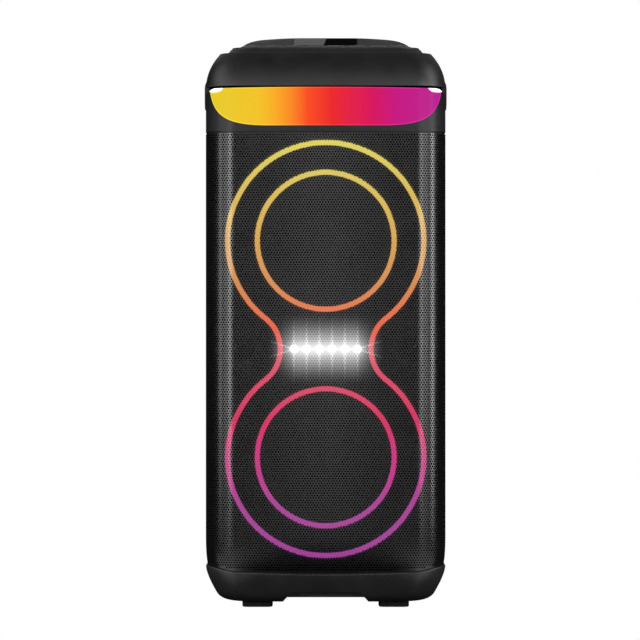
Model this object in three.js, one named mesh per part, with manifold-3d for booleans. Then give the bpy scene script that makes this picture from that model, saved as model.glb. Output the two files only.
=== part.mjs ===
// Party speaker: a tower with two woofers behind a wrap-around grille, ring light guides, a row of
// strobe lights, a light panel under the top shell, a control console and a carrying handle.
// Millimetres, +Z up, the front faces -Y. The origin is the middle of the footprint, on the floor.

import * as THREE from "three";
import { mergeVertices } from "three/addons/utils/BufferGeometryUtils.js";
import Module from "manifold-3d";

const wasm = await Module();
wasm.setup();

// ---------------------------------------------------------------- driving dimensions

const GAP = 0.3; // clearance between pieces that touch

// Tower outline, seen from above
const HALF_WIDTH = 150;
const FRONT_Y = -155;
const BACK_Y = 155;
const FRONT_CORNER = 39;
const BACK_CORNER = 22;
const BOW_RADIUS = 2362; // radius of the gently bowed front
const ARC_STEPS = 5; // facets of each round corner of the outline
const BOW_STEPS = 4; // facets of its bowed front: an even number puts one corner at the very front

// Heights of the stack, from the floor up
const FOOT_TOP = 7;
const CABINET_BOTTOM = 53.6;
const CABINET_TOP = 591.7;
const BEZEL_BOTTOM = 594.2;
const BEZEL_TOP = 650.4;
const CAP_SHOULDER = 692.7; // where the round side of the cap meets its first ledge
const PLATEAU = 698.9; // top of the cap, which the console stands on
const CONSOLE_TOP = 717.4;

// Facets of the other round shapes
const LATHE_STEPS = 22;
const EXTRUDE_STEPS = 3; // half the facets of each arc or curve in an extruded shape
const RING_STEPS = 10; // half the facets of each arc of a light ring

// The seam between base shoe and grille rises from the front towards the sides
const SEAM_FRONT_Z = 43.8;
const SEAM_RISE = 9.6;
const SEAM_FADE = 8.5; // depth over which most of the rise happens

// Cabinet and grille draw in towards the base shoe, ever faster, over the lowest part of their height
const TUCK = 5; // at the front end of the seam
const TUCK_TOP = 104;
const TUCK_HEIGHT = 60;
const TUCK_LEVELS = [50, 57, 66, 80, TUCK_TOP];

// Walls and layers behind the grille
const SHEET = 1.2;
const WALL = 5;
const UNDER_GRILLE = SHEET + 0.4; // inset of the cabinet where the grille's wings cover it
const BAFFLE_INSET = SHEET + 3;
const BAFFLE_FRONT = -143;
const BAFFLE_BACK = -135;
const LED_BOARD = 1.2;
const GUIDE_FRONT = -147.4;

// Light rings, seen from the front
const MID_Z = 323.5; // height of the waist, and of the strobes
const RING_SPACING = 134.5; // waist to the centre of each ring
const INNER_RING = 85;
const OUTER_RING = 122;
const GUIDE_WIDTH = 6;
const FILLET_X = 105; // centre of the concave arcs that join the two outer circles
const FILLET_RADIUS = Math.hypot(FILLET_X, RING_SPACING) - OUTER_RING;

const STROBE_COUNT = 6;
const STROBE_SPACING = 15.8;
const STROBE_RADIUS = 5;
const STROBE_PLATE = { half: 50, halfHeight: 9, corner: 6, thickness: 1.5 };

// Console and its controls
const BUTTON_SPACING = 26.2;
const BUTTON_WIDTH = 20;
const BUTTON_DEPTH = 11;
const BUTTON_HEIGHT = 7;
const BUTTON_PROUD = 1.5;
const BUTTON_TRAVEL = 1;
const LEDGE = { front: -117, back: -90, frontZ: 700.9, backZ: 703.7 };
const DISPLAY = { half: 40, top: -58, topZ: 716.6, raise: 2 };
const BUTTON_NAMES = [
  "power_button", "source_button", "light_mode_button", "volume_down_button",
  "volume_up_button", "play_pause_button", "bass_boost_button", "party_link_button",
];

// Rear connectors: the tray's size, and each connector's place on its floor, as [x, z]
const INPUT_PANEL = { half: 75, bottom: 430, top: 530, floor: 137, back: 134 };
const MICROPHONE_AT = [-48, 506];
const GUITAR_AT = [-18, 506];
const KNOB_AT = [22, 506];
const USB_AT = [-48, 464];
const LINE_AT = [-18, 464];
const MAINS_AT = [30, 462];
const LARGE_JACK = { bore: 3.4, barrel: 7 };
const SMALL_JACK = { bore: 1.9, barrel: 4.5 };
const KNOB = { grip: 9, shaft: 3 };
const USB = { halfWidth: 7, halfHeight: 4 };
const MAINS = { halfWidth: 11, halfHeight: 8, pinX: 4.3 };
const PORT = {
  z: 150, inner: 28, mouth: 40, depth: 95, wall: 2.5, flare: 22, flange: 47, panelHole: 37,
};

const WOOFERS = [["lower_woofer", MID_Z - RING_SPACING], ["upper_woofer", MID_Z + RING_SPACING]];

// ---------------------------------------------------------------- materials

function material(color, roughness, metalness = 0) {
  return new THREE.MeshStandardMaterial({ color, roughness, metalness });
}

const blackShell = material(0x232325, 0.45);
const satinGrey = material(0x4a4c50, 0.4);
const grilleSteel = material(0x2c2c30, 0.5, 0.6);
const baffleBlack = material(0x161617, 0.7);
const rubber = material(0x141414, 0.85);
const paperCone = material(0x1d1d1f, 0.8);
const steel = material(0x8c8f93, 0.35, 0.9);
const castMetal = material(0x35363a, 0.5, 0.7);
const magnetFerrite = material(0x2b2b2d, 0.6, 0.2);
const spiderCloth = material(0xb08a3c, 0.9);
const circuitBoard = material(0x1f5a35, 0.6);
const aluminium = material(0xb4b7bb, 0.4, 0.9);
const warmGuide = material(0xe07a4a, 0.4);
const amberGuide = material(0xe0b050, 0.4);
const pinkGuide = material(0xc83a80, 0.4);
const panelLens = material(0xf04a28, 0.3);
const whiteLens = material(0xf4f4f4, 0.3);
const glossBlack = material(0x08080a, 0.1);
const buttonGrey = material(0x3a3b3e, 0.5);
const batteryWrap = material(0x24497a, 0.5);

// ---------------------------------------------------------------- solids

const party_speaker = new THREE.Group();

function signedVolume(vertices, triangles) {
  const [a, b, c] = [new THREE.Vector3(), new THREE.Vector3(), new THREE.Vector3()];
  let sum = 0;
  for (let i = 0; i < triangles.length; i += 3) {
    a.fromArray(vertices, 3 * triangles[i]);
    b.fromArray(vertices, 3 * triangles[i + 1]);
    c.fromArray(vertices, 3 * triangles[i + 2]);
    sum += a.dot(b.cross(c)) / 6;
  }
  return sum;
}

// Turns a closed geometry into a solid, with its faces pointing out.
function toSolid(geometry) {
  geometry.deleteAttribute("normal");
  geometry.deleteAttribute("uv");
  const merged = mergeVertices(geometry, 1e-3);
  const vertices = merged.attributes.position.array;
  const triangles = Uint32Array.from(merged.index.array);
  if (signedVolume(vertices, triangles) < 0) {
    triangles.reverse();
  }
  return new wasm.Manifold(
    new wasm.Mesh({ numProp: 3, vertProperties: Float32Array.from(vertices), triVerts: triangles }),
  );
}

function add(name, solid, look) {
  const mesh = solid.getMesh();
  const vertices = Float32Array.from(mesh.vertProperties);
  const geometry = new THREE.BufferGeometry();
  geometry.setAttribute("position", new THREE.BufferAttribute(vertices, 3));
  geometry.setIndex(new THREE.BufferAttribute(Uint32Array.from(mesh.triVerts), 1));
  geometry.computeVertexNormals();
  const piece = new THREE.Mesh(geometry, look);
  piece.name = name;
  party_speaker.add(piece);
}

function join(solids) {
  return solids.reduce((sum, solid) => sum.add(solid));
}

function box(x0, x1, y0, y1, z0, z1) {
  const geometry = new THREE.BoxGeometry(x1 - x0, y1 - y0, z1 - z0);
  geometry.translate((x0 + x1) / 2, (y0 + y1) / 2, (z0 + z1) / 2);
  return toSolid(geometry);
}

function extrude(shape, depth, placement, curveSegments = EXTRUDE_STEPS) {
  const geometry = new THREE.ExtrudeGeometry(shape, { depth, bevelEnabled: false, curveSegments });
  return toSolid(geometry.applyMatrix4(placement));
}

function basis(x, y, z, origin) {
  const turn = new THREE.Matrix4().makeBasis(x, y, z);
  return turn.setPosition(origin);
}

const X = new THREE.Vector3(1, 0, 0);
const Y = new THREE.Vector3(0, 1, 0);
const Z = new THREE.Vector3(0, 0, 1);
const MINUS_Y = new THREE.Vector3(0, -1, 0);

// A prism along Z of a shape drawn in X and Y, along Y of one in X and Z, along X of one in Y and Z
function prismZ(shape, z0, z1) {
  return extrude(shape, z1 - z0, basis(X, Y, Z, new THREE.Vector3(0, 0, z0)));
}

function prismY(shape, y0, y1, steps) {
  return extrude(shape, y1 - y0, basis(X, Z, MINUS_Y, new THREE.Vector3(0, y1, 0)), steps);
}

function prismX(shape, x0, x1) {
  return extrude(shape, x1 - x0, basis(Y, Z, X, new THREE.Vector3(x0, 0, 0)));
}

function polygon(points) {
  return new THREE.Shape(points.map(([u, v]) => new THREE.Vector2(u, v)));
}

function roundedRectangle(u0, u1, v0, v1, r) {
  const shape = new THREE.Shape();
  shape.absarc(u1 - r, v1 - r, r, 0, Math.PI / 2);
  shape.absarc(u0 + r, v1 - r, r, Math.PI / 2, Math.PI);
  shape.absarc(u0 + r, v0 + r, r, Math.PI, 1.5 * Math.PI);
  shape.absarc(u1 - r, v0 + r, r, 1.5 * Math.PI, 2 * Math.PI);
  return shape;
}

// A body of revolution about an axis along Y through (x, z). The profile lists [radius, y].
function lathe(profile, x, z, steps = LATHE_STEPS) {
  const points = profile.map(([r, y]) => new THREE.Vector2(r, y));
  const geometry = new THREE.LatheGeometry(points, steps);
  geometry.translate(x, 0, z);
  return toSolid(geometry);
}

function rod(radius, y0, y1, x, z, steps = 20) {
  return lathe([[0, y0], [radius, y0], [radius, y1], [0, y1]], x, z, steps);
}

// A closed ring of revolution: the profile's last point returns to its first.
function ringLathe(profile, x, z, steps = LATHE_STEPS) {
  return lathe([...profile, profile[0]], x, z, steps);
}

// Joins outlines with equal point counts into a solid. Each section is {points, z}.
function loft(sections) {
  const count = sections[0].points.length;
  const position = sections.flatMap(({ points, z }) => points.flatMap((p) => [p.x, p.y, z]));
  const index = [];
  for (let s = 0; s < sections.length - 1; s += 1) {
    for (let i = 0; i < count; i += 1) {
      const a = s * count + i;
      const b = s * count + ((i + 1) % count);
      index.push(a, b, b + count, a, b + count, a + count);
    }
  }
  const top = (sections.length - 1) * count;
  for (const [a, b, c] of THREE.ShapeUtils.triangulateShape(sections[0].points, [])) {
    index.push(c, b, a, top + a, top + b, top + c);
  }
  const geometry = new THREE.BufferGeometry();
  geometry.setAttribute("position", new THREE.Float32BufferAttribute(position, 3));
  geometry.setIndex(index);
  return toSolid(geometry);
}

// ---------------------------------------------------------------- the tower's outline

function arc(x, y, radius, from, to, steps = ARC_STEPS) {
  return new THREE.EllipseCurve(x, y, radius, radius, from, to).getPoints(steps);
}

// Outline seen from above, moved inwards. The front corners shrink at their own rate, so that an
// outline far inside still has round corners.
function bodyPlan(inset, cornerShrink = 1) {
  const half = HALF_WIDTH - inset;
  const back = BACK_Y - inset;
  const front = FRONT_Y + inset;
  const bow = BOW_RADIUS - inset;
  const frontR = Math.max(FRONT_CORNER - cornerShrink * inset, 4);
  const backR = Math.max(BACK_CORNER - cornerShrink * inset, 4);
  const bowCentre = front + bow;
  const cornerX = half - frontR;
  const cornerY = bowCentre - Math.sqrt((bow - frontR) ** 2 - cornerX ** 2);
  const lean = Math.atan2(cornerX, bowCentre - cornerY);
  const down = 1.5 * Math.PI;
  return [
    ...arc(half - backR, back - backR, backR, 0, Math.PI / 2),
    ...arc(-half + backR, back - backR, backR, Math.PI / 2, Math.PI),
    ...arc(-cornerX, cornerY, frontR, Math.PI, down - lean),
    ...arc(0, bowCentre, bow, down - lean, down + lean, BOW_STEPS).slice(1, -1),
    ...arc(cornerX, cornerY, frontR, down + lean, 2 * Math.PI),
  ];
}

function bodyPrism(inset, z0, z1) {
  return prismZ(new THREE.Shape(bodyPlan(inset)), z0, z1);
}

function tuck(z) {
  return TUCK * (Math.max(TUCK_TOP - z, 0) / TUCK_HEIGHT) ** 4;
}

// Like bodyPrism, but drawn in towards the base shoe
function towerSolid(inset, z0, z1) {
  const levels = [z0, ...TUCK_LEVELS.filter((z) => z > z0 + 1), z1];
  return bodyLoft(levels.map((z) => [inset + tuck(z), z]));
}

function bodyRing(outer, inner, z0, z1) {
  return bodyPrism(outer, z0, z1).subtract(bodyPrism(inner, z0 - 1, z1 + 1));
}

function bodyLoft(profile, cornerShrink) {
  return loft(profile.map(([inset, z]) => ({ points: bodyPlan(inset, cornerShrink), z })));
}

function curvePoints(curve, steps) {
  return curve.getPoints(steps).map((p) => [p.x, p.y]);
}

// Height of the seam above the base shoe, at depth y
function seamHeight(y) {
  const depth = Math.max(y - FRONT_Y, 0);
  return SEAM_FRONT_Z + SEAM_RISE * (1 - Math.exp(-depth / SEAM_FADE));
}

// Everything below the seam, as a prism across the tower, raised by lift
function belowSeam(lift) {
  const depths = [0, 3, 7, 12, 18, 26, 36, 50, 70, 320].map((d) => FRONT_Y + d);
  const edge = depths.map((y) => [y, seamHeight(y) + lift]);
  const side = polygon([
    [FRONT_Y - 10, -10], [BACK_Y + 10, -10], ...edge.reverse(), [FRONT_Y - 10, SEAM_FRONT_Z + lift],
  ]);
  return prismX(side, -HALF_WIDTH - 10, HALF_WIDTH + 10);
}

// ---------------------------------------------------------------- base shoe and feet

const SHOE_FLOOR = 24;
const SHOE_SHRINK = 0.4; // how fast the shoe's round corners shrink as it draws in
const SHOE_KNEE = 18.5; // height where its flank turns into its underside
const SHOE_KNEE_INSET = 13.4;
const ARCH = { half: 43, halfBelow: 54, top: 20.6, channelHalf: 49, channelTop: 12.8, depth: 37 };
// Two pockets hollow the shoe out from below, one at each side
const SHOE_POCKET = { x: 84, halfWidth: 22, halfDepth: 95, bottom: 11, top: 40 };
const FRONT_RIB = { half: 112, front: -145, back: -141.5 };
const BOSS = { x: 48, y: 80, half: 7 };
const FOOT = { x: 85.5, y: 94, halfWidth: 19, halfDepth: 18, corner: 8 };

function shoeProfile() {
  const knee = new THREE.Vector2(SHOE_KNEE_INSET, SHOE_KNEE);
  const bottom = new THREE.QuadraticBezierCurve(
    new THREE.Vector2(37, FOOT_TOP + 0.3), new THREE.Vector2(19, 8.6), knee,
  );
  const flank = new THREE.CubicBezierCurve(
    knee, new THREE.Vector2(6, 32), new THREE.Vector2(0.2, 44), new THREE.Vector2(0, CABINET_BOTTOM),
  );
  return [[40, FOOT_TOP], ...curvePoints(bottom, 3), ...curvePoints(flank, 4).slice(1)];
}

function addBaseShoe() {
  const hollow = bodyLoft([[15, SHOE_FLOOR], [9, 36], [5, 48], [4.5, 70]], SHOE_SHRINK);
  const pockets = [-1, 1].map((side) => {
    const { halfWidth, halfDepth, bottom, top } = SHOE_POCKET;
    const x = side * SHOE_POCKET.x;
    return box(x - halfWidth, x + halfWidth, -halfDepth, halfDepth, bottom, top);
  });
  const channel = polygon([
    [-ARCH.halfBelow - 5, 0], [ARCH.halfBelow + 5, 0], [ARCH.channelHalf, ARCH.channelTop],
    [-ARCH.channelHalf, ARCH.channelTop],
  ]);
  const notch = polygon([
    [-ARCH.halfBelow - 6, 0], [ARCH.halfBelow + 6, 0], [ARCH.half, ARCH.top], [-ARCH.half, ARCH.top],
  ]);
  const upright = [SHOE_FLOOR - 2, CABINET_BOTTOM - GAP];
  const bosses = [-1, 1].flatMap((sx) => [-1, 1].map((sy) => {
    const [x, y] = [sx * BOSS.x, sy * BOSS.y];
    return box(x - BOSS.half, x + BOSS.half, y - BOSS.half, y + BOSS.half, ...upright);
  }));
  const frontRib = box(-FRONT_RIB.half, FRONT_RIB.half, FRONT_RIB.front, FRONT_RIB.back, ...upright);
  const shell = bodyLoft(shoeProfile(), SHOE_SHRINK)
    .intersect(belowSeam(-GAP / 2))
    .subtract(hollow)
    .subtract(join(pockets))
    .subtract(prismY(channel, FRONT_Y - 5, BACK_Y + 5))
    .subtract(prismY(notch, FRONT_Y - 5, FRONT_Y + ARCH.depth));
  add("base_shoe", join([shell, frontRib, ...bosses]), blackShell);
}

function addFeet() {
  const sides = [["left", -1], ["right", 1]];
  const ends = [["front", -1], ["rear", 1]];
  for (const [end, sy] of ends) {
    for (const [side, sx] of sides) {
      const [x, y] = [sx * FOOT.x, sy * FOOT.y];
      const { halfWidth, halfDepth, corner } = FOOT;
      const plan = roundedRectangle(x - halfWidth, x + halfWidth, y - halfDepth, y + halfDepth, corner);
      add(`${end}_${side}_foot`, prismZ(plan, 0, FOOT_TOP - GAP), rubber);
    }
  }
}

// ---------------------------------------------------------------- cabinet, baffle, grille, rear panel

const REAR_OPENING = { half: 128, bottom: 72, top: 579, corner: 12 };
const GRILLE_RETURN_Y = -108; // where the grille's side wings end
const REAR_PANEL = { front: 149.5, back: 153.5 };
const WOOFER_HOLE = 74;
const TWEETER_HOLE = 20;

function rearOpening(margin, y0, y1) {
  const half = REAR_OPENING.half - margin;
  const [bottom, top] = [REAR_OPENING.bottom + margin, REAR_OPENING.top - margin];
  return prismY(roundedRectangle(-half, half, bottom, top, REAR_OPENING.corner - margin), y0, y1);
}

function addCabinet() {
  const tall = [CABINET_BOTTOM, CABINET_TOP];
  const inner = [CABINET_BOTTOM + WALL, CABINET_TOP - WALL];
  const behindGrille = towerSolid(0, ...tall)
    .intersect(box(-200, 200, GRILLE_RETURN_Y + GAP, 200, 0, 700));
  const underGrille = towerSolid(UNDER_GRILLE, ...tall)
    .intersect(box(-200, 200, BAFFLE_BACK + GAP, 200, 0, 700));
  const cavity = bodyPrism(UNDER_GRILLE + WALL, ...inner).add(box(-130, 130, -160, -100, ...inner));
  const shell = behindGrille.add(underGrille).subtract(cavity).subtract(rearOpening(0, 100, 200));
  add("cabinet_shell", shell, blackShell);
}

function addBaffle() {
  const slab = bodyPrism(BAFFLE_INSET, CABINET_BOTTOM + 2, CABINET_TOP - 3)
    .intersect(box(-200, 200, BAFFLE_FRONT, BAFFLE_BACK, 0, 700));
  const through = [BAFFLE_FRONT - 1, BAFFLE_BACK + 1];
  const holes = [
    ...WOOFERS.map(([, z]) => rod(WOOFER_HOLE, ...through, 0, z, 30)),
    ...[-1, 1].map((side) => rod(TWEETER_HOLE, ...through, side * FILLET_X, MID_Z, 16)),
  ];
  add("front_baffle", slab.subtract(join(holes)), baffleBlack);
}

function addGrille() {
  const bottom = SEAM_FRONT_Z;
  const sheet = towerSolid(0, bottom, CABINET_TOP)
    .subtract(towerSolid(SHEET, bottom - 0.5, CABINET_TOP + 1))
    .intersect(box(-200, 200, -200, GRILLE_RETURN_Y, 0, CABINET_TOP))
    .subtract(belowSeam(GAP / 2));
  add("front_grille", sheet, grilleSteel);
}

function addRearPanel() {
  const { half, bottom, top } = INPUT_PANEL;
  const plate = rearOpening(GAP, REAR_PANEL.front, REAR_PANEL.back)
    .subtract(box(-half - GAP, half + GAP, 100, 200, bottom - GAP, top + GAP))
    .subtract(rod(PORT.panelHole, 100, 200, 0, PORT.z, 24));
  add("rear_panel", plate, blackShell);
}

function addPortTube() {
  const { inner, mouth, depth, z, wall, flange } = PORT;
  const start = BACK_Y - depth;
  const throat = BACK_Y - PORT.flare; // depth where the flare starts
  const seat = REAR_PANEL.back + GAP;
  const flare = new THREE.EllipseCurve(
    mouth, throat, mouth - inner, PORT.flare, Math.PI, Math.PI / 2, true,
  );
  const tube = ringLathe([
    [inner, start], ...curvePoints(flare, 4), [flange, BACK_Y], [flange, seat], [mouth - 3.5, seat],
    [inner + wall + 3, REAR_PANEL.front - 1], [inner + wall, throat], [inner + wall, start],
  ], 0, z, 24);
  add("bass_port_tube", tube, baffleBlack);
}

// ---------------------------------------------------------------- light guides and their boards

// Outline of the figure of eight, moved outwards by offset
function figureEight(offset) {
  const circle = OUTER_RING + offset;
  const fillet = FILLET_RADIUS - offset;
  const meet = Math.atan2(RING_SPACING, FILLET_X); // direction from a fillet's centre to a circle's
  const shape = new THREE.Shape();
  shape.absarc(0, MID_Z + RING_SPACING, circle, -meet, Math.PI + meet);
  shape.absarc(-FILLET_X, MID_Z, fillet, meet, -meet, true);
  shape.absarc(0, MID_Z - RING_SPACING, circle, Math.PI - meet, 2 * Math.PI + meet);
  shape.absarc(FILLET_X, MID_Z, fillet, Math.PI + meet, Math.PI - meet, true);
  return shape;
}

function circleShape(radius, z) {
  const shape = new THREE.Shape();
  shape.absarc(0, z, radius, 0, 2 * Math.PI);
  return shape;
}

function band(outline, y0, y1, steps = RING_STEPS) {
  const half = GUIDE_WIDTH / 2;
  const hole = prismY(outline(-half), y0 - 1, y1 + 1, steps);
  return prismY(outline(half), y0, y1, steps).subtract(hole);
}

function ringOutline(z) {
  return (offset) => circleShape(INNER_RING + offset, z);
}

const LED_FRONT = BAFFLE_FRONT - GAP - LED_BOARD;
const BRIDGE_HALF = 6; // half the width of the board's bridges between the rings
const STROBE_BOARD_HALF = 10;

function addLightGuides() {
  const depths = [GUIDE_FRONT, LED_FRONT - GAP];
  add("figure_eight_light_guide", band(figureEight, ...depths), warmGuide);
  add("upper_ring_light_guide", band(ringOutline(MID_Z + RING_SPACING), ...depths), amberGuide);
  add("lower_ring_light_guide", band(ringOutline(MID_Z - RING_SPACING), ...depths), pinkGuide);
}

function addFrontLedBoard() {
  const back = BAFFLE_FRONT - GAP;
  const slab = (half, z0, z1) => box(-half, half, LED_FRONT, back, z0, z1);
  const top = MID_Z + RING_SPACING;
  const bottom = MID_Z - RING_SPACING;
  const waist = FILLET_X - FILLET_RADIUS;
  add("front_led_board", join([
    band(figureEight, LED_FRONT, back, 7),
    band(ringOutline(top), LED_FRONT, back, 8),
    band(ringOutline(bottom), LED_FRONT, back, 8),
    slab(BRIDGE_HALF, top + INNER_RING, top + OUTER_RING),
    slab(BRIDGE_HALF, bottom - OUTER_RING, bottom - INNER_RING),
    slab(waist, MID_Z - STROBE_BOARD_HALF, MID_Z + STROBE_BOARD_HALF),
  ]), circuitBoard);
}

function addStrobeLensBar() {
  const back = LED_FRONT - GAP;
  const { half, halfHeight, corner, thickness } = STROBE_PLATE;
  const outline = roundedRectangle(-half, half, MID_Z - halfHeight, MID_Z + halfHeight, corner);
  const plate = prismY(outline, back - thickness, back);
  const r = STROBE_RADIUS;
  const dome = [[0, back - 5.5], [0.6 * r, back - 4.9], [r, back - 3], [r, back - 1], [0, back - 1]];
  const domes = Array.from({ length: STROBE_COUNT }, (_, i) => {
    const x = (i - (STROBE_COUNT - 1) / 2) * STROBE_SPACING;
    return lathe(dome, x, MID_Z, 10);
  });
  add("strobe_lens_bar", join([plate, ...domes]), whiteLens);
}

// ---------------------------------------------------------------- woofers and tweeters

const FLANGE = { front: -145.8, back: BAFFLE_FRONT - GAP, outer: 79.6, inner: 71 };
const BASKET = { neck: 73.4, seat: -99, seatRadius: 51, hole: 24, sheet: 2.5, windows: 6 };
const MAGNET = { radius: 44, back: -76, front: -98.7, gap: 22, pole: 16, poleFront: -101, gapBack: -82 };
const COIL = { radius: 19, back: -86, front: -116, wall: 1.2 };
const CONE = { edge: 60, front: -146.4, lip: 1.4 };
const ROLL = { centre: 65.5, y: -145.4, radius: 3.9, wall: 1.2, inner: 60.3, thickness: 1 };
const SPIDER = { inner: 19.6, pitch: 5.8, waves: 6, y: -106, depth: 1.5, thickness: 1 };

function addBasket(name, z) {
  const { neck, seat, seatRadius, hole, sheet, windows: count } = BASKET;
  const body = ringLathe([
    [FLANGE.inner, FLANGE.front], [FLANGE.outer, FLANGE.front], [FLANGE.outer, FLANGE.back],
    [neck, FLANGE.back], [seatRadius, seat], [hole, seat], [hole, seat - sheet],
    [seatRadius - 1.5, seat - sheet], [FLANGE.inner, FLANGE.back + 1.3],
  ], 0, z);
  const windows = Array.from({ length: count }, (_, i) => {
    const geometry = new THREE.BoxGeometry(30, 22, 40);
    geometry.translate(0, -120, 62);
    geometry.rotateY((2 * i * Math.PI) / count);
    geometry.translate(0, 0, z);
    return toSolid(geometry);
  });
  add(`${name}_basket`, body.subtract(join(windows)), castMetal);
}

function addMotor(name, z) {
  const { radius, back, front, gap, pole, poleFront, gapBack } = MAGNET;
  add(`${name}_magnet`, lathe([
    [0, back], [radius, back], [radius, front], [gap, front], [gap, gapBack], [pole, gapBack],
    [pole, poleFront], [0, poleFront],
  ], 0, z), magnetFerrite);
}

function addConeParts(name, z) {
  const { radius, back, front, wall } = COIL;
  const { edge, lip } = CONE;
  add(`${name}_cone`, ringLathe([
    [radius, back], [radius, front], [edge, CONE.front + lip], [edge, CONE.front],
    [edge - lip, CONE.front], [radius - wall, front - lip], [radius - wall, back],
  ], 0, z), paperCone);
  const cap = new THREE.QuadraticBezierCurve(
    new THREE.Vector2(23.6, -122.8), new THREE.Vector2(19, -130), new THREE.Vector2(0, -131),
  );
  const outside = curvePoints(cap, 2);
  const inside = outside.map(([r, y]) => [0.94 * r, y + 1.3]);
  add(`${name}_dust_cap`, lathe([...outside.reverse(), ...inside], 0, z, 20), rubber);
  const { centre, y, thickness, inner } = ROLL;
  const roll = (r, lift) => arc(centre, y + lift, r, Math.PI, 2 * Math.PI, 3)
    .slice(1, -1)
    .map((p) => [p.x, p.y]);
  const outer = FLANGE.inner - GAP;
  add(`${name}_surround`, ringLathe([
    [inner, y], ...roll(ROLL.radius, 0), [outer, y], [outer, y + thickness],
    ...roll(ROLL.radius - ROLL.wall, 0.2).reverse(), [inner, y + thickness],
  ], 0, z), rubber);
}

function addSpider(name, z) {
  const { inner, pitch, waves: count, y, depth, thickness } = SPIDER;
  const waves = Array.from({ length: count }, (_, i) => [inner + pitch * i, y + depth * (-1) ** i]);
  const under = waves.map(([r, waveY]) => [r, waveY + thickness]).reverse();
  add(`${name}_spider`, ringLathe([...waves, ...under], 0, z, 18), spiderCloth);
}

function addWoofers() {
  for (const [name, z] of WOOFERS) {
    addBasket(name, z);
    addMotor(name, z);
    addConeParts(name, z);
    addSpider(name, z);
  }
}

const TWEETER = { front: -145.6, flange: 23.5, back: -118, body: 18, seat: -140, dome: 12.3 };

function addTweeters() {
  const { front, flange, body, seat, dome } = TWEETER;
  for (const [side, sx] of [["left", -1], ["right", 1]]) {
    const x = sx * FILLET_X;
    const back = BAFFLE_FRONT - GAP;
    add(`${side}_tweeter_motor`, lathe([
      [0, seat], [dome + 0.7, seat], [16, front], [flange, front], [flange, back], [body, back],
      [body, TWEETER.back], [0, TWEETER.back],
    ], x, MID_Z, 20), castMetal);
    add(`${side}_tweeter_dome`, lathe([
      [0, front], [6.5, front + 1], [11, front + 3.6], [dome, seat - GAP], [0, seat - GAP],
    ], x, MID_Z, 16), glossBlack);
  }
}

// ---------------------------------------------------------------- shoulder bezel and light panel

const PANEL = {
  top: 647.8, arch: 2.4, bottom: 601.4, tip: 144, tipZ: 643.4, flatHalf: 70, cornerX: 127,
};
const PANEL_STEPS = 9; // facets of each curve in the panel's outline
const PANEL_BELLY = 8; // height above the panel's bottom that its bowl-shaped ends pull towards
const PANEL_BOARD = { half: 110, front: -138, thickness: 1.6, bottom: 606, top: 646 };
const SKIRT = { outer: 151.5, inner: 148.3, bottom: 624, front: -121, back: 136, chamfer: 7 };

// Front view of the light panel: slightly arched on top, bowl-shaped below, grown outwards by grow
function panelShape(grow) {
  const { top, arch, bottom, tip, tipZ, flatHalf, cornerX } = PANEL;
  const [t, b, x] = [top + grow, bottom - grow, tip + grow];
  const corner = [cornerX + 4, tipZ - 2.6 + grow];
  const belly = b + PANEL_BELLY;
  const shape = new THREE.Shape();
  shape.moveTo(cornerX, t);
  shape.quadraticCurveTo(0, t + arch, -cornerX, t);
  shape.quadraticCurveTo(-corner[0], corner[1], -x, tipZ + grow);
  shape.bezierCurveTo(-x + 5, belly, -x + 26, b, -flatHalf, b);
  shape.lineTo(flatHalf, b);
  shape.bezierCurveTo(x - 26, b, x - 5, belly, x, tipZ + grow);
  shape.quadraticCurveTo(...corner, cornerX, t);
  return shape;
}

// Front view of the accent lens that fills the corner above the light panel
function accentShape(side) {
  const { top, tip, tipZ, cornerX } = PANEL;
  const shape = new THREE.Shape();
  shape.moveTo(side * (cornerX + 0.6), top);
  shape.quadraticCurveTo(side * (cornerX + 4.6), tipZ - 2, side * tip, tipZ + 0.5);
  shape.lineTo(side * (tip + 1), tipZ + 1.2);
  shape.quadraticCurveTo(side * (tip - 2), top, side * (cornerX + 10), top);
  return shape;
}

function skirtShape(grow) {
  const [front, back] = [SKIRT.front - grow, SKIRT.back + grow];
  const bottom = SKIRT.bottom - grow;
  const bend = SKIRT.bottom + SKIRT.chamfer;
  const top = BEZEL_TOP + 6;
  return polygon([
    [front, top], [front + 9, bend], [front + 18, bottom], [back - 8, bottom], [back, bend], [back, top],
  ]);
}

function addBezel() {
  const front = [FRONT_Y - 5, -118];
  const wall = bodyRing(0, 4, BEZEL_BOTTOM, BEZEL_TOP);
  const neck = bodyRing(3, 8, CABINET_TOP + GAP, BEZEL_BOTTOM + 2);
  const windowCut = prismY(panelShape(GAP), ...front, PANEL_STEPS);
  const aboveWindow = box(-200, 200, ...front, PANEL.tipZ - 2 * GAP, BEZEL_TOP + 1);
  const recesses = [-1, 1].map((side) => {
    const x = side * (SKIRT.inner + 10 - GAP);
    return prismX(skirtShape(GAP), x - 10, x + 10);
  });
  const cuts = join([windowCut, aboveWindow, ...recesses]);
  add("shoulder_bezel", wall.add(neck).subtract(cuts), satinGrey);
}

function addLightPanel() {
  const front = [FRONT_Y - 5, -119];
  const plug = bodyRing(0.8, 5.8, 590, 660)
    .intersect(prismY(panelShape(0), ...front, PANEL_STEPS));
  const flange = bodyRing(4 + GAP, 5.8, 590, BEZEL_TOP - 1)
    .intersect(prismY(panelShape(3), ...front, PANEL_STEPS));
  add("light_panel_lens", plug.add(flange), panelLens);
  const board = PANEL_BOARD;
  const boardBack = board.front + board.thickness;
  const slab = box(-board.half, board.half, board.front, boardBack, board.bottom, board.top);
  add("light_panel_board", slab, circuitBoard);
  for (const [name, side] of [["left_accent_lens", -1], ["right_accent_lens", 1]]) {
    const sliver = bodyRing(0.8, 4, 590, 660).intersect(prismY(accentShape(side), ...front, 5));
    add(name, sliver, whiteLens);
  }
}

// ---------------------------------------------------------------- top cap and carrying handle

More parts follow.
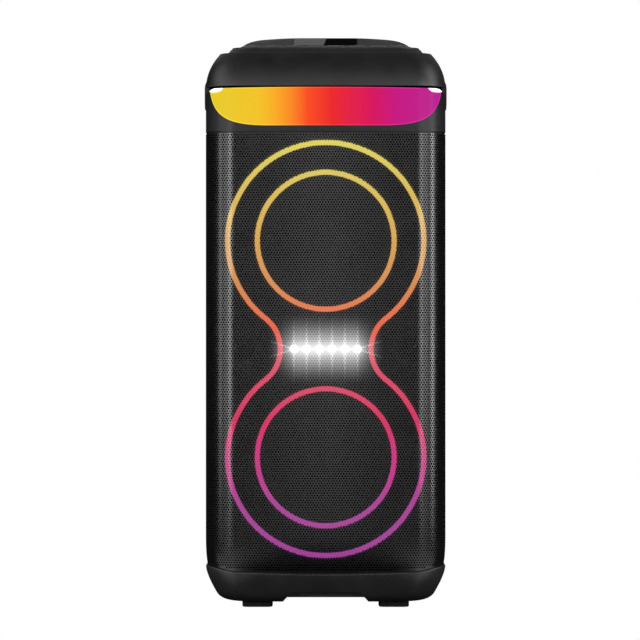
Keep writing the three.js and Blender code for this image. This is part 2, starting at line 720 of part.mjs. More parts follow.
const POCKET = { half: 82, front: 88, back: 147, bottom: 640 };
const CAP_WALL = 3;
const CAP_SHRINK = 0.45; // how fast the cap's round corners shrink as it draws in
const CONSOLE_HOLE = { half: 103, front: -111, back: 50 };

function capProfile(wall) {
  const flank = new THREE.QuadraticBezierCurve(
    new THREE.Vector2(wall, BEZEL_TOP + GAP), new THREE.Vector2(0.8 + wall, 673.5 - 0.5 * wall),
    new THREE.Vector2(17.7 + wall, CAP_SHOULDER - wall),
  );
  return [
    ...curvePoints(flank, 5),
    [19.5 + wall, CAP_SHOULDER + 0.3 - wall],
    [26.5 + wall, CAP_SHOULDER + 0.5 - wall],
    [31.4 + wall, PLATEAU - 0.1 - wall],
    [43 + wall, PLATEAU - wall],
  ];
}

function addCap() {
  const { half, front, back, bottom } = POCKET;
  const hollow = bodyLoft([[CAP_WALL, BEZEL_TOP - 5], ...capProfile(CAP_WALL)], CAP_SHRINK);
  const proud = HALF_WIDTH - SKIRT.outer;
  const skirtLimit = bodyLoft([[proud, SKIRT.bottom - 1], [proud, BEZEL_TOP - 2], [1.3, BEZEL_TOP + 8.5]]);
  const skirts = [-1, 1].map((side) => {
    const x = side * (SKIRT.inner + SKIRT.outer) / 2;
    const thickness = SKIRT.outer - SKIRT.inner;
    return prismX(skirtShape(0), x - thickness / 2, x + thickness / 2).intersect(skirtLimit);
  });
  const inside = CAP_WALL + 2;
  const underSkin = [[inside, bottom - 20], [inside, BEZEL_TOP + GAP], ...capProfile(CAP_WALL / 2).slice(1)];
  const [tubHalf, tubFront, tubBack] = [half + CAP_WALL, front - CAP_WALL, back + CAP_WALL];
  const tub = box(-tubHalf, tubHalf, tubFront, tubBack, bottom - CAP_WALL, 710)
    .intersect(bodyLoft(underSkin, CAP_SHRINK));
  const pocket = box(-half, half, front, back, bottom, 720);
  const rearOpen = box(-half, half, back - 5, 170, BEZEL_TOP + 3, 720);
  const hole = CONSOLE_HOLE;
  const consoleHole = box(-hole.half, hole.half, hole.front, hole.back, 680, 720);
  const shell = bodyLoft(capProfile(0), CAP_SHRINK).subtract(hollow).add(join([...skirts, tub]));
  add("top_cap", shell.subtract(join([pocket, rearOpen, consoleHole])), blackShell);
}

function addHandle() {
  const bar = new THREE.Shape();
  bar.moveTo(124, 676);
  bar.lineTo(141, 676);
  bar.quadraticCurveTo(145, 677, 144, 682);
  bar.quadraticCurveTo(141, 690, 134, 696);
  bar.quadraticCurveTo(132, 697.8, 129, 698);
  bar.lineTo(124, 698);
  bar.quadraticCurveTo(121, 697.5, 121, 694);
  bar.lineTo(121, 680);
  bar.quadraticCurveTo(121, 676.3, 124, 676);
  add("carry_handle", prismX(bar, -POCKET.half + GAP, POCKET.half - GAP), blackShell);
}

// ---------------------------------------------------------------- console, display and buttons

const LEDGE_TILT = Math.atan2(LEDGE.backZ - LEDGE.frontZ, LEDGE.back - LEDGE.front);
const DISPLAY_TILT = Math.atan2(DISPLAY.topZ - LEDGE.backZ, DISPLAY.top - LEDGE.back);
const CONSOLE_BOTTOM = PLATEAU + GAP;
const CONSOLE = { half: 107, back: 62, corner: 12, wall: 2.5 };
const FLANGE_PLATE = { half: 117.5, front: -121.5, back: 65.5, corner: 27, thickness: 1.5 };

// The console is what three prisms share: its side view, its front view and its plan.
function consoleSolid(wall) {
  const half = CONSOLE.half - wall;
  const front = LEDGE.front - 0.5 + wall;
  const back = CONSOLE.back - wall;
  const bottom = CONSOLE_BOTTOM - 5 * Math.sign(wall);
  const side = polygon([
    [front, bottom], [back, bottom], [back, 701 - wall], [44, 714 - wall], [25, 716.6 - wall],
    [-20, CONSOLE_TOP - wall], [DISPLAY.top, DISPLAY.topZ - wall], [LEDGE.back, LEDGE.backZ - wall],
    [LEDGE.front, LEDGE.frontZ - wall], [front, LEDGE.frontZ - 0.6 - wall],
  ]);
  const [crest, brow, temple] = [CONSOLE_TOP + 0.2 - wall, 713.8 - wall, 711 - wall];
  const crown = new THREE.Shape();
  crown.moveTo(-half, CONSOLE_BOTTOM - 6);
  crown.lineTo(-half, CONSOLE_BOTTOM + 1);
  crown.quadraticCurveTo(-half + 6, temple, -80, brow);
  crown.quadraticCurveTo(-45, crest, 0, crest);
  crown.quadraticCurveTo(45, crest, 80, brow);
  crown.quadraticCurveTo(half - 6, temple, half, CONSOLE_BOTTOM + 1);
  crown.lineTo(half, CONSOLE_BOTTOM - 6);
  const plan = roundedRectangle(-half, half, front, back, CONSOLE.corner - wall);
  return prismX(side, -120, 120)
    .intersect(prismY(crown, -130, 80))
    .intersect(prismZ(plan, CONSOLE_BOTTOM - 6, CONSOLE_TOP + 5));
}

// A rounded slab lying on a tilted face: centred at (x, y, z), its top at height rise above the face
function tiltedSlab(x, y, z, tilt, width, length, thickness, rise, corner) {
  const shape = roundedRectangle(-width / 2, width / 2, -length / 2, length / 2, corner);
  const settings = { depth: thickness, bevelEnabled: false, curveSegments: 1 };
  const geometry = new THREE.ExtrudeGeometry(shape, settings);
  geometry.translate(0, 0, rise - thickness);
  geometry.rotateX(tilt);
  geometry.translate(x, y, z);
  return toSolid(geometry);
}

function onLedge(x, width, length, thickness, rise, corner) {
  const y = (LEDGE.front + LEDGE.back) / 2;
  const z = (LEDGE.frontZ + LEDGE.backZ) / 2;
  return tiltedSlab(x, y, z, LEDGE_TILT, width, length, thickness, rise, corner);
}

function onDisplayFace(width, length, thickness, rise, corner) {
  const y = (LEDGE.back + DISPLAY.top) / 2 + DISPLAY.raise * Math.cos(DISPLAY_TILT);
  const z = (LEDGE.backZ + DISPLAY.topZ) / 2 + DISPLAY.raise * Math.sin(DISPLAY_TILT);
  return tiltedSlab(0, y, z, DISPLAY_TILT, width, length, thickness, rise, corner);
}

const BUTTON_XS = BUTTON_NAMES.map((_, i) => (i - (BUTTON_NAMES.length - 1) / 2) * BUTTON_SPACING);
const DISPLAY_LENGTH = 28;

function addConsole() {
  const { half, front, back, corner, thickness } = FLANGE_PLATE;
  const plate = prismZ(
    roundedRectangle(-half, half, front, back, corner), CONSOLE_BOTTOM, CONSOLE_BOTTOM + thickness,
  );
  const buttonHoles = BUTTON_XS.map((x) => (
    onLedge(x, BUTTON_WIDTH + 2 * GAP, BUTTON_DEPTH + 2 * GAP, 20, 6, 2.3)
  ));
  const window = onDisplayFace(2 * DISPLAY.half + 2 * GAP, DISPLAY_LENGTH + 2 * GAP, 12, 5, 1.3);
  const shell = consoleSolid(0)
    .add(plate)
    .subtract(consoleSolid(CONSOLE.wall))
    .subtract(join([...buttonHoles, window]));
  add("console_housing", shell, blackShell);
  add("display_lens", onDisplayFace(2 * DISPLAY.half, DISPLAY_LENGTH, 2.2, 0.1, 1), glossBlack);
  const button = [BUTTON_WIDTH, BUTTON_DEPTH, BUTTON_HEIGHT, BUTTON_PROUD, 2];
  BUTTON_NAMES.forEach((name, i) => add(name, onLedge(BUTTON_XS[i], ...button), buttonGrey));
}

const BOARD = { half: 97, front: -107, back: -62, bottom: 691, thickness: 1.6 };
const DIGITS = { half: 36, front: -84, back: -66, top: 702 };
const SWITCH_HALF = 3;

function addControlBoard() {
  const y = (LEDGE.front + LEDGE.back) / 2;
  const keyBottom = (LEDGE.frontZ + LEDGE.backZ) / 2 + BUTTON_PROUD - BUTTON_HEIGHT;
  const switchTop = keyBottom - BUTTON_TRAVEL - 0.8;
  const { half, front, back, bottom, thickness } = BOARD;
  const s = SWITCH_HALF;
  const board = box(-half, half, front, back, bottom, bottom + thickness);
  const switches = BUTTON_XS.map((x) => box(x - s, x + s, y - s, y + s, bottom + 1, switchTop));
  const digits = box(-DIGITS.half, DIGITS.half, DIGITS.front, DIGITS.back, bottom + 1, DIGITS.top);
  add("control_board", join([board, digits, ...switches]), circuitBoard);
}

// ---------------------------------------------------------------- rear connectors

// A box centred at [x, z], from depth y0 to y1
function boxAt([x, z], halfWidth, halfHeight, y0, y1) {
  return box(x - halfWidth, x + halfWidth, y0, y1, z - halfHeight, z + halfHeight);
}

function plateAt([x, z], halfWidth, halfHeight, corner, y0, y1) {
  const shape = roundedRectangle(x - halfWidth, x + halfWidth, z - halfHeight, z + halfHeight, corner);
  return prismY(shape, y0, y1);
}

function addInputPanel() {
  const { half, bottom, top, floor, back } = INPUT_PANEL;
  const rim = roundedRectangle(-half - 5, half + 5, bottom - 5, top + 5, 6);
  const flange = prismY(rim, REAR_PANEL.back + GAP, BACK_Y);
  const tray = box(-half, half, back, BACK_Y, bottom, top);
  const hollow = box(-half + 3, half - 3, floor, BACK_Y + 5, bottom + 3, top - 3);
  const through = [back - 14, floor + 13];
  const holes = [
    rod(LARGE_JACK.barrel + GAP, ...through, ...MICROPHONE_AT, 16),
    rod(LARGE_JACK.barrel + GAP, ...through, ...GUITAR_AT, 16),
    rod(SMALL_JACK.barrel + GAP, ...through, ...LINE_AT, 16),
    rod(KNOB.shaft + GAP, ...through, ...KNOB_AT, 12),
    boxAt(USB_AT, USB.halfWidth + GAP, USB.halfHeight + GAP, ...through),
    boxAt(MAINS_AT, MAINS.halfWidth + GAP, MAINS.halfHeight + GAP, ...through),
  ];
  add("rear_input_panel", flange.add(tray).subtract(hollow).subtract(join(holes)), blackShell);
}

// A round socket: a nut outside the panel's floor, and a barrel behind it with a blind bore
function addJack(name, at, { bore, barrel }) {
  const { floor } = INPUT_PANEL;
  const nut = barrel + 2;
  add(name, lathe([
    [0, floor - 20], [barrel, floor - 20], [barrel, floor + GAP], [nut, floor + GAP], [nut, floor + 3],
    [bore, floor + 3], [bore, floor - 17], [0, floor - 17],
  ], ...at, 16), steel);
}

function addUsbPort() {
  const { floor } = INPUT_PANEL;
  const shell = boxAt(USB_AT, USB.halfWidth, USB.halfHeight, floor - 14, floor + 1);
  const socket = boxAt(USB_AT, USB.halfWidth - 1, USB.halfHeight - 1.6, floor - 12, floor + 5);
  add("usb_port", shell.subtract(socket), steel);
}

function addMainsInlet() {
  const { floor } = INPUT_PANEL;
  const [x, z] = MAINS_AT;
  const body = boxAt(MAINS_AT, MAINS.halfWidth, MAINS.halfHeight, floor - 20, floor + 1);
  const rim = plateAt(MAINS_AT, 15, 11, 3, floor + GAP, floor + 2);
  const recess = plateAt(MAINS_AT, 7.4, 4.2, 4.1, floor - 16, floor + 5);
  const pins = [-1, 1].map((side) => rod(1.2, floor - 17, floor - 3, x + side * MAINS.pinX, z, 12));
  add("mains_inlet", join([body.add(rim).subtract(recess), ...pins]), baffleBlack);
}

function addKnob() {
  const { floor } = INPUT_PANEL;
  const [x, z] = KNOB_AT;
  const notch = box(x - 1, x + 1, floor + 9, floor + 20, z + 2, z + 14);
  const grip = rod(KNOB.grip, floor + 2, floor + 13, x, z, 20).subtract(notch);
  const shaft = rod(KNOB.shaft, floor - 12, floor + 4, x, z, 12);
  add("microphone_knob", grip.add(shaft), buttonGrey);
}

function addConnectors() {
  addJack("microphone_jack", MICROPHONE_AT, LARGE_JACK);
  addJack("guitar_jack", GUITAR_AT, LARGE_JACK);
  addJack("line_jack", LINE_AT, SMALL_JACK);
  addUsbPort();
  addMainsInlet();
  addKnob();
}

// ---------------------------------------------------------------- electronics in the cabinet

const AMPLIFIER = { half: 72, front: 110, thickness: 2, bottom: 420, top: 540 };
const SUPPLY = { half: 60, front: 138, thickness: 2, bottom: 300, top: 390 };
const HEAT_SINK = { half: 37, front: 84, plate: 104, bottom: 450, top: 520, fins: 8, fin: 2.4 };
const BATTERY = { half: 85, halfDepth: 40, height: 66, corner: 8 };

// A board that stands across the tower, with parts on its front: each is [x0, x1, z0, z1, height]
function populatedBoard({ half, front, thickness, bottom, top }, parts) {
  return join([
    box(-half, half, front, front + thickness, bottom, top),
    ...parts.map(([x0, x1, z0, z1, height]) => box(x0, x1, front - height, front + 1, z0, z1)),
  ]);
}

function addElectronics() {
  const capacitors = [434, 510].map((z) => [-62, -50, z, z + 12, 14]);
  const inductor = [50, 64, 430, 460, 18];
  const relay = [48, 66, 500, 525, 12];
  add("amplifier_board", populatedBoard(AMPLIFIER, [...capacitors, inductor, relay]), circuitBoard);

  const transformer = [-45, -10, 320, 360, 28];
  const smoothing = [[5, 318], [30, 350]].map(([x, z]) => [x, x + 18, z, z + 18, 26]);
  add("power_supply_board", populatedBoard(SUPPLY, [transformer, ...smoothing]), circuitBoard);

  const { half, front, plate, bottom, top, fins, fin } = HEAT_SINK;
  const pitch = (2 * half - fin) / (fins - 1);
  const row = Array.from({ length: fins }, (_, i) => {
    const x = -half + i * pitch;
    return box(x, x + fin, front, plate + 1, bottom, top);
  });
  const sink = join([box(-half, half, plate, AMPLIFIER.front - GAP, bottom, top), ...row]);
  add("heat_sink", sink, aluminium);

  const { halfDepth, height, corner } = BATTERY;
  const floor = CABINET_BOTTOM + WALL + GAP;
  const outline = roundedRectangle(-halfDepth, halfDepth, floor, floor + height, corner);
  add("battery_pack", prismX(outline, -BATTERY.half, BATTERY.half), batteryWrap);
}

// ---------------------------------------------------------------- assembly

addBaseShoe();
addFeet();
addCabinet();
addBaffle();
addGrille();
addRearPanel();
addPortTube();
addLightGuides();
addFrontLedBoard();
addStrobeLensBar();
addWoofers();
addTweeters();
addBezel();
addLightPanel();
addCap();
addHandle();
addConsole();
addControlBoard();
addInputPanel();
addConnectors();
addElectronics();

export default party_speaker;
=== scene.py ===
import math

import bmesh
import bpy
import numpy as np
from mathutils import Matrix, Vector


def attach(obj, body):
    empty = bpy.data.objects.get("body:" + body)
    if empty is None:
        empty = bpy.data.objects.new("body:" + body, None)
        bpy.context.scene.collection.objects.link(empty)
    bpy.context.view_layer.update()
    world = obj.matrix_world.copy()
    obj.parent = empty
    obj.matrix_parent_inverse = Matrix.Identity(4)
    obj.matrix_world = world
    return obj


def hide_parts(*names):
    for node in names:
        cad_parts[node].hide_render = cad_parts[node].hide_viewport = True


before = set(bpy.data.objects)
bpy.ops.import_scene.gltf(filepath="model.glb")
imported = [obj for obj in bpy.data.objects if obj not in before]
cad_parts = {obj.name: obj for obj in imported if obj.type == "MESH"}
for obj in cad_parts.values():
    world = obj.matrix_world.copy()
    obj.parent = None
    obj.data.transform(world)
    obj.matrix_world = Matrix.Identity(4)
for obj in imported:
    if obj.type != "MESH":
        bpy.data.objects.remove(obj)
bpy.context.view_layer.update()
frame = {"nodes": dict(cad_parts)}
nodes = frame["nodes"]

MM = 0.001
GAP = 0.3

# ---------------------------------------------------------------- dimensions shared with the CAD

HALF_WIDTH = 150
FRONT_Y = -155
BACK_Y = 155
FRONT_CORNER = 39
BACK_CORNER = 22
BOW_RADIUS = 2362
FOOT_TOP = 7
CABINET_BOTTOM = 53.6
CABINET_TOP = 591.7
BEZEL_BOTTOM = 594.2
BEZEL_TOP = 650.4
CAP_SHOULDER = 692.7
PLATEAU = 698.9
CONSOLE_TOP = 717.4
SEAM_FRONT_Z = 43.8
SEAM_RISE = 9.6
SEAM_FADE = 8.5
TUCK = 5
TUCK_TOP = 104
TUCK_HEIGHT = 60
WING_END_Y = -108

MID_Z = 323.5
RING_SPACING = 134.5
INNER_RING = 85
OUTER_RING = 122
GUIDE_WIDTH = 6
GUIDE_FRONT = -147.4
FILLET_X = 105
FILLET_RADIUS = math.hypot(FILLET_X, RING_SPACING) - OUTER_RING
STROBE_COUNT = 6
STROBE_SPACING = 15.8
STROBE_RADIUS = 5

# Grille perforation: a honeycomb of hexagonal holes in horizontal rows
PITCH = 3.446
HOLE = 2.15
SHEET = 1.2
MARGIN = 1.6
FIRST_ROW = 2.2

CORNER_STEPS = 16
BOW_STEPS = 24


# ---------------------------------------------------------------- materials

def srgb(r, g, b):
    """A colour given as 0 to 255, as linear light."""
    def linear(c):
        c /= 255
        return c / 12.92 if c <= 0.04045 else ((c + 0.055) / 1.055) ** 2.4
    return (linear(r), linear(g), linear(b), 1.0)


def scaled(colour, factor):
    return (colour[0] * factor, colour[1] * factor, colour[2] * factor, 1.0)


class Field:
    """A number that varies over a surface. Arithmetic on it adds the nodes that work it out."""

    def __init__(self, nodes, socket):
        self.nodes, self.socket = nodes, socket

    def __add__(self, other):
        return self.nodes.math("ADD", self, other)

    def __sub__(self, other):
        return self.nodes.math("SUBTRACT", self, other)

    def __rsub__(self, other):
        return self.nodes.math("SUBTRACT", other, self)

    def __mul__(self, other):
        return self.nodes.math("MULTIPLY", self, other)

    def __truediv__(self, other):
        return self.nodes.math("DIVIDE", self, other)

    def __pow__(self, other):
        return self.nodes.math("POWER", self, other)

    def __lt__(self, other):
        return self.nodes.math("LESS_THAN", self, other)

    def __gt__(self, other):
        return self.nodes.math("GREATER_THAN", self, other)

    def __abs__(self):
        return self.nodes.math("ABSOLUTE", self, 0)


class Nodes:
    """A small helper that adds and links the nodes of one material."""

    def __init__(self, tree):
        self.tree = tree

    def add(self, kind, **settings):
        node = self.tree.nodes.new(kind)
        for key, value in settings.items():
            setattr(node, key, value)
        return node

    def feed(self, socket, value):
        if isinstance(value, (Field, bpy.types.NodeSocket)):
            self.tree.links.new(getattr(value, "socket", value), socket)
        else:
            socket.default_value = value

    def math(self, operation, a, b):
        node = self.add("ShaderNodeMath", operation=operation)
        self.feed(node.inputs[0], a)
        self.feed(node.inputs[1], b)
        return Field(self, node.outputs[0])

    def largest(self, a, b):
        return self.math("MAXIMUM", a, b)

    def smallest(self, a, b):
        return self.math("MINIMUM", a, b)

    def ramp(self, factor, stops):
        node = self.add("ShaderNodeValToRGB")
        elements = node.color_ramp.elements
        while len(elements) > 1:
            elements.remove(elements[-1])
        elements[0].position, elements[0].color = stops[0]
        for position, colour in stops[1:]:
            elements.new(position).color = colour
        self.feed(node.inputs[0], factor)
        return node.outputs[0]

    def noise(self, scale, detail=2.0):
        node = self.add("ShaderNodeTexNoise")
        node.inputs["Scale"].default_value = scale
        node.inputs["Detail"].default_value = detail
        self.feed(node.inputs["Vector"], self.add("ShaderNodeTexCoord").outputs["Object"])
        return node.outputs[0]

    def position(self):
        """The point's x, y and z in millimetres."""
        split = self.add("ShaderNodeSeparateXYZ")
        self.feed(split.inputs[0], self.add("ShaderNodeTexCoord").outputs["Object"])
        return [self.math("MULTIPLY", split.outputs[i], 1 / MM) for i in range(3)]

    def stretch(self, value, low, high, to_low, to_high):
        """The value's place between low and high, as a number between to_low and to_high."""
        node = self.add("ShaderNodeMapRange")
        for socket, number in zip(node.inputs, (value, low, high, to_low, to_high)):
            self.feed(socket, number)
        return Field(self, node.outputs[0])

    def grey(self, level):
        node = self.add("ShaderNodeCombineColor")
        for socket in node.inputs[:3]:
            self.feed(socket, level)
        return node.outputs[0]

    def blend(self, kind, a, b):
        node = self.add("ShaderNodeMix", data_type="RGBA", blend_type=kind)
        for socket, value in zip((node.inputs[0], *node.inputs[6:8]), (1.0, a, b)):
            self.feed(socket, value)
        return node.outputs[2]


def surface(name, colour, roughness, metallic=0.0, grain=1800, bump=0.25, mottle=0.1, spread=0.05,
            specular=0.5):
    """A material with fine grain in its surface, and soft variation in its colour and gloss."""
    material = bpy.data.materials.new(name)
    material.use_nodes = True
    shader = material.node_tree.nodes["Principled BSDF"]
    n = Nodes(material.node_tree)
    broad = n.noise(38, 3)
    tint = n.ramp(broad, [(0.3, scaled(colour, 1 - mottle)), (0.7, scaled(colour, 1 + mottle))])
    n.feed(shader.inputs["Base Color"], tint)
    n.feed(shader.inputs["Roughness"], n.stretch(broad, 0.3, 0.7, roughness - spread, roughness + spread))
    shader.inputs["Metallic"].default_value = metallic
    shader.inputs["Specular IOR Level"].default_value = specular
    relief = n.add("ShaderNodeBump")
    relief.inputs["Strength"].default_value = bump
    relief.inputs["Distance"].default_value = 0.08 * MM
    n.feed(relief.inputs["Height"], n.noise(grain))
    n.feed(shader.inputs["Normal"], relief.outputs[0])
    return material, n, shader


def plastic(*args, **settings):
    return surface(*args, **settings)[0]


def gradient(n, place, stops, highlight_lift=0):
    """A colour that changes with place through the stops, each a place and its colour as 0 to 255."""
    low, high = stops[0][0], stops[-1][0]
    colours = [((p - low) / (high - low), srgb(*[min(255, v + highlight_lift) for v in c])) for p, c in stops]
    return n.ramp(n.stretch(place, low, high, 0, 1), colours)


# Colour of the light rings, by height from the bottom of the tower to its top
RING_STOPS = [
    (58, (160, 62, 150)), (133, (170, 62, 150)), (187, (203, 45, 128)), (233, (214, 38, 95)),
    (323, (222, 84, 100)), (346, (236, 92, 62)), (412, (216, 146, 80)), (582, (226, 215, 90)),
]

# Colour of the light panel, by distance from its middle
PANEL_STOPS = [
    (-142, (232, 205, 38)), (-82, (245, 196, 38)), (-62, (252, 172, 35)), (-22, (252, 76, 32)),
    (8, (238, 38, 40)), (58, (218, 16, 92)), (88, (200, 20, 130)), (142, (188, 31, 147)),
]


def ring_colour(n):
    return gradient(n, n.position()[2], RING_STOPS)


def panel_colour(n, highlight_lift=0):
    return gradient(n, n.position()[0], PANEL_STOPS, highlight_lift)


def cool_white(n):
    return n.ramp(n.noise(300), [(0.2, (0.92, 0.95, 1, 1)), (0.8, (1, 1, 1, 1))])


def glowing(name, base, strength, colour_of, roughness=0.3, specular=0.2):
    material, n, shader = surface(name, base, roughness, grain=900, bump=0.1, mottle=0.05, specular=specular)
    n.feed(shader.inputs["Emission Color"], colour_of(n))
    shader.inputs["Emission Strength"].default_value = strength
    return material


def length(a, b):
    return (a * a + b * b) ** 0.5


def from_strobes(n):
    """Distances across and up or down from the middle of the row of strobes."""
    x, _, z = n.position()
    return abs(x), abs(z - MID_Z)


def strobe_light(n, side, rise):
    """White light round the row of strobes, at distances side and rise from the middle of the row. On the
    strobe lens it is the lamps' own glow; on the grille, baffle and LED board it is painted light: painted
    cores, haze and rays.
    """
    half = STROBE_SPACING / 2
    past = side - (STROBE_COUNT - 1) * half
    in_row = half - n.math("PINGPONG", side, half)
    to_lamp = n.largest((past < 0) * in_row, n.largest(past, 0))
    core = n.stretch(length(to_lamp, rise), 3.2, 6.2, 1, 0)
    haze = n.stretch(rise, 0, 48, 1, 0) ** 2.4 * n.stretch(past, -4, 34, 1, 0) ** 2.2
    # Painted rays: each lamp gets a painted ray up and down, and the end lamps two more outwards
    ray_width = n.stretch(rise, 4, 30, 3.4, 1.1)
    ray = n.largest(1 - to_lamp / ray_width, 0) * n.stretch(rise, 0, 50, 1, 0) ** 2
    off_line = abs(rise - past * 0.33)
    slant = n.stretch(off_line, 0, 1.8, 1, 0) * n.stretch(past, 2, 32, 1, 0) * (past > 0)
    return core, haze * 0.98 + ray * 0.6 + slant * 0.45, haze


def grille_material():
    """Painted steel. The webs near a lit guide or a strobe have that light painted on as a glow: a painted
    band and halo in the guide's colour, and painted strobe light.
    """
    material, n, shader = surface("grille_paint", srgb(15, 15, 18), 0.26, grain=2600, bump=0.05, mottle=0.06,
                                  spread=0.02, specular=1.0)
    side, rise = from_strobes(n)
    radius = length(side, rise - RING_SPACING)
    fillet = abs(length(side - FILLET_X, rise) - FILLET_RADIUS)
    in_waist = side / FILLET_X + rise / RING_SPACING < 1
    eight = in_waist * fillet + (1 - in_waist) * abs(radius - OUTER_RING)
    from_guide = n.smallest(abs(radius - INNER_RING), eight)
    # Painted glow: webs over a guide take its colour, with a faint painted halo round it
    band = n.stretch(from_guide, 2.6, 4.0, 1, 0) * 0.86
    halo = n.stretch(from_guide, 2.0, 9.0, 1, 0) ** 2 * 0.05
    painted_ring_glow = n.blend("MULTIPLY", ring_colour(n), n.grey(n.largest(band, halo)))
    # Painted strobe light on the webs: cores, haze and rays
    core, glare, _ = strobe_light(n, side, rise)
    lit = n.blend("ADD", painted_ring_glow, n.grey(n.smallest(core + glare, 1)))
    n.feed(shader.inputs["Emission Color"], lit)
    shader.inputs["Emission Strength"].default_value = 1.0
    return material


def strobe_lit(name, colour, roughness, haze_share):
    """A surface behind the grille whose emission carries the strobes' light: the strobe lens's own glow, and
    painted light on the baffle and LED board.
    """
    material, n, shader = surface(name, colour, roughness, grain=700, bump=0.3)
    core, _, haze = strobe_light(n, *from_strobes(n))
    shader.inputs["Emission Color"].default_value = (1, 1, 1, 1)
    n.feed(shader.inputs["Emission Strength"], core + haze * haze_share)
    return material


BLACK = plastic("black_shell_plastic", srgb(17, 17, 19), 0.46, bump=0.1, specular=0.9)
SATIN = plastic("satin_grey_plastic", srgb(30, 30, 33), 0.42, bump=0.08, specular=0.4)
SHOE = plastic("shoe_plastic", srgb(33, 32, 32), 0.44, bump=0.15, specular=0.9)
GRILLE = grille_material()
HOLE_WALL = plastic("grille_hole_wall", srgb(10, 10, 11), 0.7, grain=2600, bump=0.05, specular=0.2)
RUBBER = plastic("rubber_black", srgb(22, 22, 23), 0.72, grain=1300, bump=0.35)
CONE = plastic("paper_cone", srgb(20, 20, 21), 0.85, grain=800, bump=0.6)
STEEL_DARK = plastic("black_zinc_steel", srgb(70, 70, 74), 0.35, metallic=1.0, grain=1500, bump=0.1)
STEEL = plastic("plated_steel", srgb(165, 167, 170), 0.3, metallic=1.0, grain=1500, bump=0.08)
FERRITE = plastic("ferrite", srgb(40, 40, 42), 0.6, grain=900, bump=0.5)
CLOTH = plastic("spider_cloth", srgb(176, 138, 62), 0.9, grain=1600, bump=0.8)
BOARD = plastic("circuit_board", srgb(24, 84, 48), 0.55, grain=300, bump=0.3, mottle=0.2)
ALUMINIUM = plastic("aluminium", srgb(190, 192, 195), 0.35, metallic=1.0, grain=1200, bump=0.15)
BATTERY = plastic("battery_wrap", srgb(34, 66, 112), 0.45, grain=200, bump=0.15)
GLOSS = plastic("display_gloss", srgb(3, 3, 3), 0.015, grain=60, bump=0.0, spread=0.01, specular=1.0)
# The buttons' grey is lighter than the rubber's own: partly painted highlight, standing in for the glints on
# their front edges
BUTTON = plastic("button_rubber", srgb(84, 85, 88), 0.42, grain=1500, bump=0.2)
PRINT = plastic("white_print", srgb(196, 198, 200), 0.5, grain=1500, bump=0.1)
DARK_PLASTIC = plastic("dark_plastic", srgb(20, 20, 21), 0.55, grain=1200, bump=0.3)
GUIDE = glowing("lit_light_guide", srgb(120, 90, 90), 1.0, ring_colour)
PANEL = glowing("lit_panel_lens", srgb(16, 10, 10), 0.98, panel_colour, roughness=0.35, specular=0.05)
# Painted highlight: the lens edge glows lighter than the panel
PANEL_EDGE_HIGHLIGHT = glowing("lit_panel_edge_highlight", srgb(16, 10, 10), 1.0, lambda n: panel_colour(n, highlight_lift=22))
# Painted highlight: the white accent lenses glow white where the glossy panel curves back at its top corners
WHITE_HIGHLIGHT_LENS = glowing("painted_highlight_white_lens", srgb(200, 200, 200), 1.0, cool_white)
STROBE_LENS = strobe_lit("strobe_lens_plastic", srgb(90, 90, 92), 0.3, 0.85)
# Painted light: the baffle and LED board glow with the strobes' light, a painted pool round the row
BAFFLE = strobe_lit("baffle_board", srgb(14, 14, 15), 0.85, 0.7)
LED_BOARD = strobe_lit("led_board_black", srgb(14, 14, 15), 0.8, 0.7)


# ---------------------------------------------------------------- mesh tools

def placed(name, data):
    """A new object with this data, in the scene."""
    obj = bpy.data.objects.new(name, data)
    bpy.context.scene.collection.objects.link(obj)
    return obj


def discard(obj):
    data = obj.data
    bpy.data.objects.remove(obj)
    bpy.data.meshes.remove(data)


def make(name, verts, faces):
    """A mesh object from points in millimetres, with its faces pointing out."""
    mesh = bpy.data.meshes.new(name)
    mesh.from_pydata([tuple(c * MM for c in v) for v in verts], [], faces)
    mesh.validate()
    work = bmesh.new()
    work.from_mesh(mesh)
    bmesh.ops.remove_doubles(work, verts=work.verts, dist=1e-7)
    bmesh.ops.recalc_face_normals(work, faces=work.faces)
    work.to_mesh(mesh)
    work.free()
    return placed(name, mesh)


def finished(obj, material, replaces=None, body="speaker", sharp=32, bevel=0.0):
    """Gives a piece its finish and body, and hides the CAD node it stands for."""
    obj.data.materials.clear()
    obj.data.materials.append(material)
    for polygon in obj.data.polygons:
        polygon.use_smooth = True
    obj.data.set_sharp_from_angle(angle=math.radians(sharp))
    if bevel:
        rounding = obj.modifiers.new("rounding", "BEVEL")
        rounding.width = bevel * MM
        rounding.segments = 2
        rounding.limit_method = "ANGLE"
        rounding.angle_limit = math.radians(sharp)
        rounding.use_clamp_overlap = True
        rounding.harden_normals = True
    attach(obj, body)
    if replaces:
        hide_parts(replaces)
    return obj


def combined(obj, operation, *others):
    """Boolean of obj with each of the others, which are used up."""
    for other in others:
        tool = obj.modifiers.new("tool", "BOOLEAN")
        tool.operation = operation
        tool.solver = "MANIFOLD"
        tool.object = other
        graph = bpy.context.evaluated_depsgraph_get()
        result = bpy.data.meshes.new_from_object(obj.evaluated_get(graph))
        obj.modifiers.clear()
        old = obj.data
        obj.data = result
        bpy.data.meshes.remove(old)
        discard(other)
    return obj


def cut(obj, *others):
    return combined(obj, "DIFFERENCE", *others)


def unite(obj, *others):
    return combined(obj, "UNION", *others)


def common(obj, *others):
    return combined(obj, "INTERSECT", *others)


def join(objs, name):
    """Several objects as one mesh, without a boolean."""
    work = bmesh.new()
    for obj in objs:
        work.from_mesh(obj.data)
    mesh = bpy.data.meshes.new(name)
    work.to_mesh(mesh)
    work.free()
    for obj in objs:
        discard(obj)
    return placed(name, mesh)


